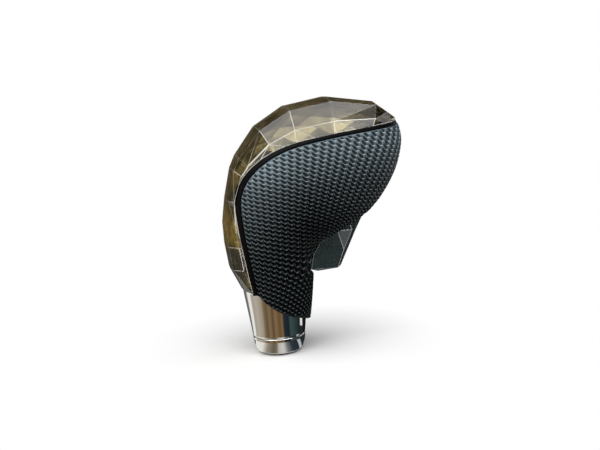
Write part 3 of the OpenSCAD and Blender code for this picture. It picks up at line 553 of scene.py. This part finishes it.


# Painted light on the leather: the black is painted shade, in the pits and down the neck; the pale rim colour
# is a painted highlight.
PAINTED_SHADE_BLACK, CREST_GREY = (0.0012, 0.0016, 0.0018, 1), (0.200, 0.265, 0.308, 1)
RIM_PAINTED_HIGHLIGHT = (0.56, 0.64, 0.66, 1)
leather = new_material("pressed_leather", (0.02, 0.022, 0.025), Specular_IOR_Level=0.10,
                       Specular_Tint=(0.82, 0.95, 1.0, 1))
grain_bump = add_finish(leather, 0.30, 0.12, 220, 4200, 0.02 * MM)[1]
tree = leather.node_tree
place = node(tree, "ShaderNodeAttribute", attribute_name="scale_place")
painted_light_fac = node(tree, "ShaderNodeAttribute", attribute_name="painted_light").outputs["Fac"]
scales = node(tree, "ShaderNodeGroup", node_tree=PRESSED_SCALES)
tree.links.new(place.outputs["Vector"], scales.inputs["Place"])
# The painted light and shade from the attribute raise the ridges' grey and the rim highlight at the head, and
# lower them down the neck and at the crook.
pale = chain(tree, painted_light_fac, ("POWER", 1.3))
crest = chain(tree, scales.outputs["Crest"], ("MULTIPLY_ADD", 0.74, 0.16), ("MULTIPLY", pale))
rim_highlight_share = chain(tree, painted_light_fac, ("POWER", 0.38), ("MULTIPLY", 0.9), ("MULTIPLY", scales.outputs["Rim"]))
colour = mix_colours(tree, rim_highlight_share, mix_colours(tree, crest, PAINTED_SHADE_BLACK, CREST_GREY), RIM_PAINTED_HIGHLIGHT)
tree.links.new(colour, tree.nodes["Principled BSDF"].inputs["Base Color"])
scale_bump = node(tree, "ShaderNodeBump", Strength=1.0, Distance=0.70 * MM)
tree.links.new(scales.outputs["Height"], scale_bump.inputs["Height"])
tree.links.new(scale_bump.outputs["Normal"], grain_bump.inputs["Normal"])

leather_grip = mesh_piece("leather_grip", points, faces, leather)
for name, kind, field, values in (
        ("scale_place", "FLOAT_VECTOR", "vector", np.stack([scale_x, scale_y, fade], -1).reshape(-1, 3)),
        ("painted_light", "FLOAT", "value", painted_light.reshape(-1, 1))):
    values = np.concatenate([values, values[rim_points]]).astype(np.float32)
    leather_grip.data.attributes.new(name, kind, "POINT").data.foreach_set(field, values.ravel())
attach(leather_grip, "knob")
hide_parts("leather_wrap")


# Tray under the crystal
# Moulded tray, vacuum plated in a smoky bright finish, that follows the back and the head and makes
# the clear crystal over it shine. It is bonded to the crystal and stands on the shells' edges.
CROWN = np.array([[-14.6, 29.2], [-18.8, 38.6], [-19.9, 48.8], [-20, 57.9], [-18.2, 68.4], [-14.9, 81.1],
                  [-12.2, 86.2], [-3, 97.5], [10.4, 104.9], [28.3, 107], [48.1, 102.9], [53.2, 98.7],
                  [57.2, 95.3]])
CROWN_U = np.array([0, 0.31, 0.585, 0.82, 1.07, 1.335, 1.455, 1.73, 1.97, 2.22, 2.48, 2.71, 2.955])
STRIP_TOP = 1.72
HOLLOW_SHARE, HOLLOW_IN, RIM_WIDTH = 0.72, 2.45, 1.6
ARCH_FOOT, ARCH_WIDE, ARCH_FULL = 0.15, 0.9, 0.85


def hollow_arch(u, less, a):
    """Points of the crystal's hollow at u, and at the angles a from its right foot to its left."""
    foot = part_at(u)
    way = np.stack([np.interp(u, CROWN_U, CROWN[:, 0]), np.interp(u, CROWN_U, CROWN[:, 1])], -1) - foot
    size = np.linalg.norm(way, axis=-1)
    way = way / size[..., None]
    high = np.maximum(HOLLOW_SHARE * size, STRIP_TOP + 0.1) - less
    half = np.minimum(beside_part(u, 0.0)[..., 1] - HOLLOW_IN, beside_part(u, STRIP_TOP)[..., 1] - RIM_WIDTH)
    y = -(half - less) * np.sign(np.cos(a)) * np.abs(np.cos(a)) ** ARCH_WIDE
    q = foot + (ARCH_FOOT + (high - ARCH_FOOT) * np.sin(a) ** ARCH_FULL)[..., None] * way
    return np.stack([q[..., 0], y, q[..., 1]], -1)


# The tray is pressed in a net of flat facets, rows across the back and head, staggered like bricks.
NET_ROWS, NET_COLS, FIRST_U, FINAL_U = 25, 7, 0.08, 2.78
draws = np.random.RandomState(11)
net_u, net_a = np.meshgrid(np.linspace(FIRST_U, FINAL_U, NET_ROWS), np.linspace(0, math.pi, NET_COLS),
                           indexing="ij")
stagger = np.zeros_like(net_a)
stagger[1::2, 1:-1] = 0.5 * math.pi / (NET_COLS - 1)
net_a = np.clip(net_a + stagger - stagger.mean() + draws.uniform(-0.05, 0.05, net_a.shape), 0, math.pi)
net_a[:, 0] = 0
net_a[:, -1] = math.pi
net_u[1:-1, 1:-1] += draws.uniform(-0.02, 0.02, net_u[1:-1, 1:-1].shape)
dent = draws.uniform(0, 0.22, net_u.shape)
dent[:, [0, -1]] = 0


def facet_net(less):
    return hollow_arch(net_u.ravel(), less + dent.ravel(), net_a.ravel())


def facet_net_faces(base=0, flip=False):
    faces = []
    for j in range(NET_ROWS - 1):
        for i in range(NET_COLS - 1):
            a, b = base + j * NET_COLS + i, base + (j + 1) * NET_COLS + i
            faces += [[a, a + 1, b + 1], [a, b + 1, b]] if j % 2 else [[a, a + 1, b], [a + 1, b + 1, b]]
    return [face[::-1] for face in faces] if flip else faces


def between(tree, value, low, high):
    """Share of a value between two limits, from 0 to 1."""
    share = node(tree, "ShaderNodeMapRange", From_Min=low, From_Max=high)
    tree.links.new(value, share.inputs["Value"])
    return share.outputs["Result"]


# The plating goes over from brown at the foot to a darker grey at the head, in lighter and darker patches;
# the darkening towards the head is painted shade against the top light.
LIGHT_BROWN, LIGHT_GREY = (0.95, 0.74, 0.28, 1), (0.38, 0.34, 0.22, 1)
DARK_BROWN, DARK_GREY = (0.12, 0.095, 0.05, 1), (0.085, 0.072, 0.048, 1)
tray_plating = new_material("smoky_plating", (0.3, 0.26, 0.16), 1.0)
finish = add_finish(tray_plating, 0.42, 0.10, 45, 110, 0.005 * MM)[0]
tree = tray_plating.node_tree
split = node(tree, "ShaderNodeSeparateXYZ")
tree.links.new(node(tree, "ShaderNodeTexCoord").outputs["Object"], split.inputs[0])
grey_and_shade_to_head = between(tree, split.outputs["Z"], 55 * MM, 92 * MM)
patchy = between(tree, finish.outputs["Patches"], 0.4, 0.6)
colour = mix_colours(tree, patchy, mix_colours(tree, grey_and_shade_to_head, LIGHT_BROWN, LIGHT_GREY),
                     mix_colours(tree, grey_and_shade_to_head, DARK_BROWN, DARK_GREY))
tree.links.new(colour, tree.nodes["Principled BSDF"].inputs["Base Color"])
tray = mesh_piece("plated_tray", facet_net(0.02), facet_net_faces(flip=True), tray_plating, smooth=False)
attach(tray, "knob")
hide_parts("crystal_tray")


# Crystal cover
# One block of clear resin cast with a smoky tint, cut and polished: a crown band, a ridge on each
# side, a broad band below it and a zigzag row of small facets along the black strip.
SHOULDER_UP, RIDGE_UP, SHOULDER_OUT, RIDGE_OUT = 0.43, 0.93, 0.8, 0.42
CROWN_ROWS = len(CROWN)
EDGE_POINTS = 2 * CROWN_ROWS - 1
crown_foot = part_at(CROWN_U)
crown_half = beside_part(CROWN_U, 0.0)[:, 1]
crown_tall = np.linalg.norm(CROWN - crown_foot, axis=1)
shoulder_tall = np.maximum(SHOULDER_UP * crown_tall,
                           np.minimum(STRIP_TOP + 0.25, (STRIP_TOP + RIDGE_UP * crown_tall) / 2))


def mirrored(points):
    return points * [1, -1, 1]


def cut_line(out, tall):
    """Corners of a cut line on the right side, at a share of the half width, that tall."""
    q = crown_foot + tall[:, None] * unit(CROWN - crown_foot)
    return np.stack([q[:, 0], -out * crown_half, q[:, 1]], -1)


def end_corner(k):
    """Corner at the strip at one end of the crown."""
    x, z = crown_foot[k] + STRIP_TOP * unit(CROWN[k] - crown_foot[k])
    return np.array([min(x, float(through(FRONT, z))), -float(half_at(x, z)), z])


k = np.arange(1, EDGE_POINTS - 1)
edge_u = (CROWN_U[k // 2] + CROWN_U[(k + 1) // 2]) / 2
edges = np.concatenate([[end_corner(0)], mirrored(beside_part(edge_u, np.full(len(k), STRIP_TOP))),
                        [end_corner(CROWN_ROWS - 1)]])
shoulders, ridges = cut_line(SHOULDER_OUT, shoulder_tall), cut_line(RIDGE_OUT, RIDGE_UP * crown_tall)
columns = [edges, shoulders, ridges, cut_line(0, crown_tall), mirrored(ridges), mirrored(shoulders),
           mirrored(edges)]
start = np.cumsum([0] + [len(column) for column in columns]).tolist()
hollow_start = start[-1]


def outer(column, k):
    return start[column] + k


def inner(column, k):
    return hollow_start + k * NET_COLS + column


faces = []
last_row, last_edge, last_col = CROWN_ROWS - 1, EDGE_POINTS - 1, NET_COLS - 1
for k in range(last_row):
    # the zigzag facets between the strip and the shoulder, on both sides
    for low, up, turn in ((0, 1, 1), (6, 5, -1)):
        a, b, c = outer(low, 2 * k), outer(low, 2 * k + 1), outer(low, 2 * k + 2)
        d, e = outer(up, k), outer(up, k + 1)
        faces += [face[::turn] for face in ([a, b, d], [b, e, d], [b, c, e])]
    for column in (1, 2, 3, 4):
        a, b = outer(column, k), outer(column + 1, k + 1)
        faces += [[a, b, outer(column + 1, k)], [a, outer(column, k + 1), b]]
# the two ends of the crown
faces.append([outer(column, 0) for column in range(7)])
faces.append([outer(6, last_edge)] + [outer(column, last_row) for column in range(5, 0, -1)]
             + [outer(0, last_edge)])
# the faceted hollow over the tray with its two ends, and the flat underside around it
faces += facet_net_faces(hollow_start)
faces.append([inner(column, 0) for column in range(last_col, -1, -1)])
faces.append([inner(column, NET_ROWS - 1) for column in range(NET_COLS)])
for k in range(last_edge):
    for edge, within, turn in ((0, 0, 1), (6, last_col, -1)):
        a, b = outer(edge, k), inner(within, k + 1)
        faces += [face[::turn] for face in ([a, inner(within, k), b], [a, b, outer(edge, k + 1)])]
faces.append([outer(0, 0), outer(6, 0), inner(last_col, 0), inner(0, 0)])
faces.append([outer(0, last_edge), inner(0, last_edge), inner(last_col, last_edge), outer(6, last_edge)])

smoky_crystal = new_material("smoky_crystal", (0.62, 0.59, 0.46), Transmission_Weight=1.0, IOR=1.46,
                             Specular_IOR_Level=0.40, Roughness=0.0)
# The pale, half clear material of the rounded edges is a painted highlight.
crystal_edge_highlight = new_material("crystal_edge_highlight", (0.93, 0.92, 0.87), Transmission_Weight=0.45, IOR=1.5,
                             Roughness=0.22)
crystal = mesh_piece("crystal_block", np.concatenate(columns + [facet_net(0.06)]), faces, smoky_crystal,
                     smooth=False)
crystal.data.materials.append(crystal_edge_highlight)


def round_and_highlight_edges(piece, width, **limit):
    """Rounds a piece's cut edges and gives the rounding its second material, which paints a highlight along
    them.
    """
    bevel = piece.modifiers.new("polished_edges", "BEVEL")
    bevel.width, bevel.segments, bevel.material = width, 2, 1
    for label, value in limit.items():
        setattr(bevel, label, value)


# Every edge between two cut faces is rounded, with a painted highlight on the rounding: the shoulder's the
# widest, then those at the strip.
SHOULDER_HIGHLIGHT, STRIP_HIGHLIGHT, OTHER_HIGHLIGHT = 1.0, 0.6, 0.08
on_shoulder = {*range(start[1], start[2]), *range(start[5], start[6])}
on_strip = {*range(start[0], start[1]), *range(start[6], start[7])}
cut = bmesh.new()
cut.from_mesh(crystal.data)
weight = cut.edges.layers.float.new("bevel_weight_edge")
for line in cut.edges:
    if len(line.link_faces) == 2 and line.calc_face_angle(0) > math.radians(4):
        ends = {corner.index for corner in line.verts}
        line[weight] = OTHER_HIGHLIGHT
        for corners, edge_highlight in ((on_strip, STRIP_HIGHLIGHT), (on_shoulder, SHOULDER_HIGHLIGHT)):
            if ends <= corners:
                line[weight] = edge_highlight
cut.to_mesh(crystal.data)
cut.free()
round_and_highlight_edges(crystal, 0.56 * MM, limit_method="WEIGHT")
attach(crystal, "knob")
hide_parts("crystal_cover")


# Black strip
# Extruded black strip, pressed into the groove between leather and crystal: up one side, around the
# nose and down the other, with a rounded face that lies a little below both.
STRIP_FROM, STRIP_WIDTH, STRIP_SUNK, STRIP_ROUND = 0.1, 1.5, 0.15, 0.35
LEATHER_SIDE_DEPTH, CRYSTAL_SIDE_DEPTH = 2.2, 1.2
# The section: place across the strip, depth, and whether the depth is measured at the crystal's side.
bend = [(STRIP_ROUND * (1 - math.cos(t)), STRIP_ROUND * (1 - math.sin(t)))
        for t in np.linspace(0, math.pi / 2, 5)]
section = [(STRIP_FROM, LEATHER_SIDE_DEPTH, False)]
section += [(STRIP_FROM + c, STRIP_SUNK + s, False) for c, s in bend]
section += [(STRIP_FROM + STRIP_WIDTH - s, STRIP_SUNK + c, True) for c, s in bend]
section += [(STRIP_FROM + STRIP_WIDTH, CRYSTAL_SIDE_DEPTH, True)]
strip_u = np.linspace(0, 3, 121)
normal = outward(beside_part(strip_u, 0.0)[:, 2], part_angle(strip_u))
out = part_out(strip_u)
out = np.stack([out[:, 0], 0 * strip_u, out[:, 1]], -1)
inward = unit(out * (normal * out).sum(1, keepdims=True) - normal)
left = np.stack([beside_part(strip_u, place) + depth * (inward if at_crystal else -normal)
                 for place, depth, at_crystal in section], 1)
rings = np.concatenate([left, mirrored(left)[-2::-1]])
count = len(section)
ends = [list(range(count)), list(range((len(rings) - 1) * count, len(rings) * count))[::-1]]
strip_black = new_material("strip_black", (0.002, 0.002, 0.002), Specular_IOR_Level=0.06)
add_finish(strip_black, 0.46, 0.1, 120, 2500, 0.004 * MM)
faces = grid_faces(len(rings), count, wrap=True, flip=True) + ends
strip = mesh_piece("trim_bead", rings.reshape(-1, 3), faces, strip_black)
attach(strip, "knob")
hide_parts("trim_strip")


# Release button, its slide and the bumper
# Dark smoked crystal, cut and polished, bonded on the black slide that runs in the core's channel. It
# fills the crook under the head and slides back into it. The slide's foot stops on a rubber bumper.
slide_plastic = new_material("slide_plastic", (0.035, 0.035, 0.038))
add_finish(slide_plastic, 0.42, 0.12, 90, 2400, 0.02 * MM)
paint(["button_slide"], slide_plastic)
bumper_rubber = new_material("bumper_rubber", (0.018, 0.018, 0.018))
add_finish(bumper_rubber, 0.75, 0.1, 90, 1800, 0.04 * MM)
paint(["stop_bumper"], bumper_rubber)

CAP_HALF = 9.4
# Corners of the cap's three lines on one side: x, z and the share of the half width at which they lie.
RIM_LINE = [[14.2, 35.6, 1], [15.8, 42.4, 1], [19.2, 47, 1], [26.8, 51, 1], [32.2, 53.8, 1], [37.6, 56.6, 1]]
SHOULDER_LINE = [[17.6, 34, 0.68], [26.6, 34.2, 0.66], [28.3, 38.2, 0.66], [29.8, 41.8, 0.66],
                 [34.4, 49.6, 0.46], [38.8, 56.2, 0.5]]
FRONT_LINE = [[18.6, 33.9, 0.16], [29, 34, 0.16], [31.4, 38.6, 0.16], [33.4, 42.4, 0.16],
              [36.8, 49, 0.16], [40.6, 55.6, 0.16]]
right = [[x, -share * CAP_HALF, z] for line in (RIM_LINE, SHOULDER_LINE, FRONT_LINE) for x, z, share in line]
left = [[x, share * CAP_HALF, z] for line in (FRONT_LINE, SHOULDER_LINE, RIM_LINE) for x, z, share in line]
count = len(RIM_LINE)
faces = []
for line in range(5):
    for k in range(count - 1):
        a, b = line * count + k, (line + 1) * count + k
        faces += [[a, b, b + 1], [a, b + 1, a + 1]] if line < 3 else [[a, b, a + 1], [b, b + 1, a + 1]]
faces += [[5 * count + k, k, k + 1, 5 * count + k + 1] for k in range(count - 1)]
faces += [[line * count for line in range(5, -1, -1)], [line * count + count - 1 for line in range(6)]]
smoked_crystal = new_material("smoked_crystal", (0.036, 0.047, 0.048), Transmission_Weight=0.3, IOR=1.5,
                              Roughness=0.04)
# The light grey of the button's rounded edges is a painted highlight.
button_edge_highlight = new_material("button_edge_highlight", (0.34, 0.36, 0.36), Roughness=0.25)
button = mesh_piece("button_crystal", right + left, faces, smoked_crystal, smooth=False)
button.data.materials.append(button_edge_highlight)
round_and_highlight_edges(button, 0.18 * MM, limit_method="ANGLE", angle_limit=math.radians(16))
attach(button, "button")
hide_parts("button_cap")


# Button spring
# Wound steel wire with closed ends, lying between the back of the channel and the slide's tongue. It
# pushes the button out again.
BACK_X, AXIS_Z, COIL_LENGTH, TRAVEL = -11.85, 62.58, 7.8, 4.5
back_end = (BACK_X * MM, 0, AXIS_Z * MM)
coil = wound_spring("button_coil", 2.5, 0.28, COIL_LENGTH, 5, spring_wire)
coil.data.transform(Matrix.Translation(back_end) @ Matrix.Rotation(math.pi / 2, 4, "Y"))
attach(coil, "knob")
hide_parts("button_spring")
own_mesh(coil)


# Floor
# A pale matt table top. Away from the knob it goes over to plain white, which the camera, metal and
# glass see alike, and it keeps the knob's shadow.
def plain_mesh(name, points, faces):
    """A mesh of the studio, in metres, linked to the scene."""
    mesh = bpy.data.meshes.new(name)
    mesh.from_pydata(points, [], faces)
    ob = bpy.data.objects.new(name, mesh)
    bpy.context.scene.collection.objects.link(ob)
    return ob


def sheet(name, width, depth):
    x, y = width / 2, depth / 2
    return plain_mesh(name, [(-x, -y, 0), (x, -y, 0), (x, y, 0), (-x, y, 0)], [(0, 1, 2, 3)])


def seen_directly(tree):
    """1 for the rays of the camera, of metal and of glass, 0 for those that light the object."""
    rays = node(tree, "ShaderNodeLightPath").outputs
    return chain(tree, rays["Is Camera Ray"], ("MAXIMUM", rays["Is Glossy Ray"]),
                 ("MAXIMUM", rays["Is Transmission Ray"]))


FLOOR_SIZE, FLOOR_DROP, PALE_R, WHITE_R = 8.0, 0.4 * MM, 14 * MM, 72 * MM
floor = sheet("floor", FLOOR_SIZE, FLOOR_SIZE)
floor.location.z = -FLOOR_DROP
floor_pale = new_material("floor", (0.80, 0.80, 0.80), Roughness=0.9)
tree = floor_pale.node_tree
from_knob = node(tree, "ShaderNodeVectorMath", operation="LENGTH")
tree.links.new(node(tree, "ShaderNodeTexCoord").outputs["Object"], from_knob.inputs[0])
white_share = chain(tree, between(tree, from_knob.outputs["Value"], PALE_R, WHITE_R),
                    ("MULTIPLY", seen_directly(tree)))
white = node(tree, "ShaderNodeEmission", Color=(1, 1, 1, 1), Strength=1.0)
both = node(tree, "ShaderNodeMixShader")
tree.links.new(white_share, both.inputs[0])
tree.links.new(tree.nodes["Principled BSDF"].outputs[0], both.inputs[1])
tree.links.new(white.outputs[0], both.inputs[2])
tree.links.new(both.outputs[0], tree.nodes["Material Output"].inputs["Surface"])
floor.data.materials.append(floor_pale)


# Cards
# Toned cards out of the camera's sight, which only the bright parts and the crystal mirror: six around
# the knob, and rings on the floor whose tones run around the collar.
def make_card(ob, strength, colour=None):
    """Makes a mesh shine in one colour, or in its own tones, for the rays of metal and glass alone."""
    material = bpy.data.materials.new(ob.name)
    material.use_nodes = True
    tree = material.node_tree
    tree.nodes.clear()
    glow = node(tree, "ShaderNodeEmission", Strength=strength)
    if colour:
        glow.inputs["Color"].default_value = (*colour, 1)
    else:
        tone = node(tree, "ShaderNodeAttribute", attribute_name="tone")
        tree.links.new(tone.outputs["Color"], glow.inputs["Color"])
    tree.links.new(glow.outputs[0], node(tree, "ShaderNodeOutputMaterial").inputs[0])
    ob.data.materials.append(material)
    ob.visible_camera = ob.visible_diffuse = ob.visible_shadow = ob.visible_volume_scatter = False


def turned_to(at, look, axis):
    """Rotation that points an object's axis from where it is to where it looks."""
    return (Vector(look) - Vector(at)).to_track_quat(axis, "Y").to_euler()


def card(name, size, at, look, colour, strength):
    ob = sheet(name, *size)
    ob.location, ob.rotation_euler = at, turned_to(at, look, "Z")
    make_card(ob, strength, colour)


RING_STEPS, RING_Z = 360, 0.8 * MM


def floor_ring(name, near, away, table):
    """Card on the floor around the collar; the table has angles in degrees with their tones."""
    table = np.array(table)
    angle = np.linspace(table[0, 0], table[-1, 0], RING_STEPS)
    tones = [np.interp(angle, table[:, 0], table[:, k]) for k in (1, 2, 3)]
    tones = np.stack(tones + [np.ones(RING_STEPS)], -1)
    points = [(r * math.cos(t), r * math.sin(t), RING_Z) for r in (near, away) for t in np.radians(angle)]
    faces = [(i, i + 1, i + RING_STEPS + 1, i + RING_STEPS) for i in range(RING_STEPS - 1)]
    ob = plain_mesh(name, points, faces)
    layer = ob.data.color_attributes.new("tone", "FLOAT_COLOR", "POINT")
    layer.data.foreach_set("color", np.concatenate([tones, tones]).astype(np.float32).ravel())
    make_card(ob, 1.0)


card("side_card", (0.7, 0.5), (0.50, -0.1, 0.26), (0, 0, 0.06), (0.02, 0.024, 0.026), 1.0)
card("front_card", (0.7, 0.34), (-0.02, -0.42, 0.16), (0, 0, 0.08), (0.035, 0.035, 0.032), 1.0)
card("back_card", (0.5, 0.4), (-0.42, 0.1, 0.22), (0, 0, 0.06), (0.30, 0.245, 0.13), 1.0)
card("far_card", (1.3, 0.6), (-0.10, 0.50, 0.16), (0, 0, 0.07), (0.12, 0.095, 0.055), 1.0)
card("shoulder_card", (0.55, 0.55), (-0.56, 0.30, 0.57), (0, 0, 0.09), (1.0, 0.98, 0.92), 4.5)
card("sky_card", (1.1, 0.75), (0.0, 0.50, 0.66), (0, 0, 0.08), (0.12, 0.085, 0.04), 1.0)

# What the end ring's bowl mirrors near the foot, the sleeve's foot in the middle, and the sleeve further out.
BOWL_TONES = [(-282, 0.25, 0.25, 0.24), (-232, 0.30, 0.30, 0.28), (-226, 0.02, 0.02, 0.02),
              (-212, 0.02, 0.02, 0.02), (-206, 0.95, 0.94, 0.90), (-162, 0.90, 0.88, 0.83),
              (-142, 0.34, 0.31, 0.26), (-122, 0.16, 0.13, 0.09), (-112, 0.22, 0.18, 0.13),
              (-104, 0.62, 0.61, 0.58), (-92, 0.70, 0.70, 0.68), (-80, 0.20, 0.21, 0.22),
              (-66, 0.03, 0.045, 0.06), (-40, 0.02, 0.03, 0.035), (-36, 0.55, 0.57, 0.6),
              (-26, 0.5, 0.52, 0.55), (-20, 0.02, 0.03, 0.035), (78, 0.02, 0.03, 0.03)]
SLEEVE_TONES = [(-282, 0.05, 0.055, 0.05), (-250, 0.12, 0.125, 0.115), (-227, 0.22, 0.22, 0.20),
                (-222, 0.95, 0.95, 0.92), (-204, 0.95, 0.95, 0.92), (-199, 0.42, 0.39, 0.33),
                (-180, 0.52, 0.48, 0.41), (-158, 0.40, 0.35, 0.27), (-151, 0.24, 0.175, 0.10),
                (-141, 0.15, 0.10, 0.055), (-130, 0.25, 0.18, 0.10), (-120, 0.13, 0.08, 0.04),
                (-110, 0.26, 0.17, 0.085), (-98, 0.15, 0.095, 0.045), (-87, 0.22, 0.14, 0.065),
                (-82, 0.02, 0.028, 0.04), (-64, 0.015, 0.02, 0.03), (-59, 0.05, 0.085, 0.09),
                (-30, 0.025, 0.04, 0.04), (-14, 0.01, 0.015, 0.015), (-10, 0.9, 0.9, 0.9),
                (1, 0.9, 0.9, 0.9), (5, 0.008, 0.011, 0.011), (78, 0.012, 0.015, 0.015)]
WITHOUT_STREAK = [(tone[0], 0.02, 0.03, 0.03) if tone[0] in (-10, 1) else tone for tone in SLEEVE_TONES]
floor_ring("foot_near", 0.0092, 0.021, BOWL_TONES)
floor_ring("foot_middle", 0.021, 0.032, WITHOUT_STREAK)
floor_ring("foot_upper", 0.032, 0.16, SLEEVE_TONES)
floor_ring("foot_back", 0.16, 0.6, [(35, 0.11, 0.09, 0.05), (120, 0.14, 0.11, 0.06), (170, 0.34, 0.28, 0.15)])
floor_ring("foot_front", 0.16, 0.55, [(-185, 0.34, 0.28, 0.15), (-150, 0.16, 0.13, 0.08),
                                      (-120, 0.05, 0.05, 0.05), (-20, 0.03, 0.035, 0.035)])


# Lamps and white room
# One large softbox above, towards the camera, a weak one behind at the left, and a white room that
# camera, metal and glass see in full, while it lights the object only a little.
def softbox(name, at, look, size, power):
    light = bpy.data.lights.new(name, "AREA")
    light.shape, light.size, light.size_y, light.energy = "RECTANGLE", size[0], size[1], power
    ob = bpy.data.objects.new(name, light)
    bpy.context.scene.collection.objects.link(ob)
    ob.location, ob.rotation_euler = at, turned_to(at, look, "-Z")
    ob.visible_camera = False


softbox("top_light", (-0.05, -0.38, 0.93), (0.01, 0, 0.06), (1.5, 1.15), 19)
softbox("left_light", (-0.7, -0.35, 0.45), (0, 0, 0.05), (0.9, 1.1), 1)

ROOM_LIGHT = 0.11
room = bpy.data.worlds.new("studio")
room.use_nodes = True
tree = room.node_tree
tree.nodes["Background"].inputs["Color"].default_value = (1, 1, 1, 1)
tree.links.new(chain(tree, seen_directly(tree), ("MULTIPLY_ADD", 1 - ROOM_LIGHT, ROOM_LIGHT)),
               tree.nodes["Background"].inputs["Strength"])
bpy.context.scene.world = room


# Camera
# It looks at the knob's right side, a little from behind and above, and is turned by 4.5 degrees. Its
# small shift sets the knob where the photograph has it.
AZIMUTH, ELEVATION, ROLL = map(math.radians, (-12.0, 12.5, 4.5))
TARGET, DISTANCE = Vector((0.014, 0.0, 0.056)), 0.70
LENS, SENSOR, SHIFT_X, SHIFT_Y, PICTURE_WIDTH = 98.7, 36, -2.2, -6.4, 600
back = Vector((math.sin(AZIMUTH) * math.cos(ELEVATION), -math.cos(AZIMUTH) * math.cos(ELEVATION),
               math.sin(ELEVATION)))
level = Vector((math.cos(AZIMUTH), math.sin(AZIMUTH), 0))
upright = back.cross(level)
across = math.cos(ROLL) * level - math.sin(ROLL) * upright
upward = math.sin(ROLL) * level + math.cos(ROLL) * upright
camera_data = bpy.data.cameras.new("camera")
camera_data.lens, camera_data.sensor_width, camera_data.clip_start = LENS, SENSOR, 0.01
camera_data.shift_x, camera_data.shift_y = SHIFT_X / PICTURE_WIDTH, SHIFT_Y / PICTURE_WIDTH
camera = bpy.data.objects.new("camera", camera_data)
bpy.context.scene.collection.objects.link(camera)
camera.matrix_world = (Matrix.Translation(TARGET + back * DISTANCE)
                       @ Matrix((across, upward, back)).transposed().to_4x4())
bpy.context.scene.camera = camera
bpy.context.scene.view_settings.view_transform = "Standard"
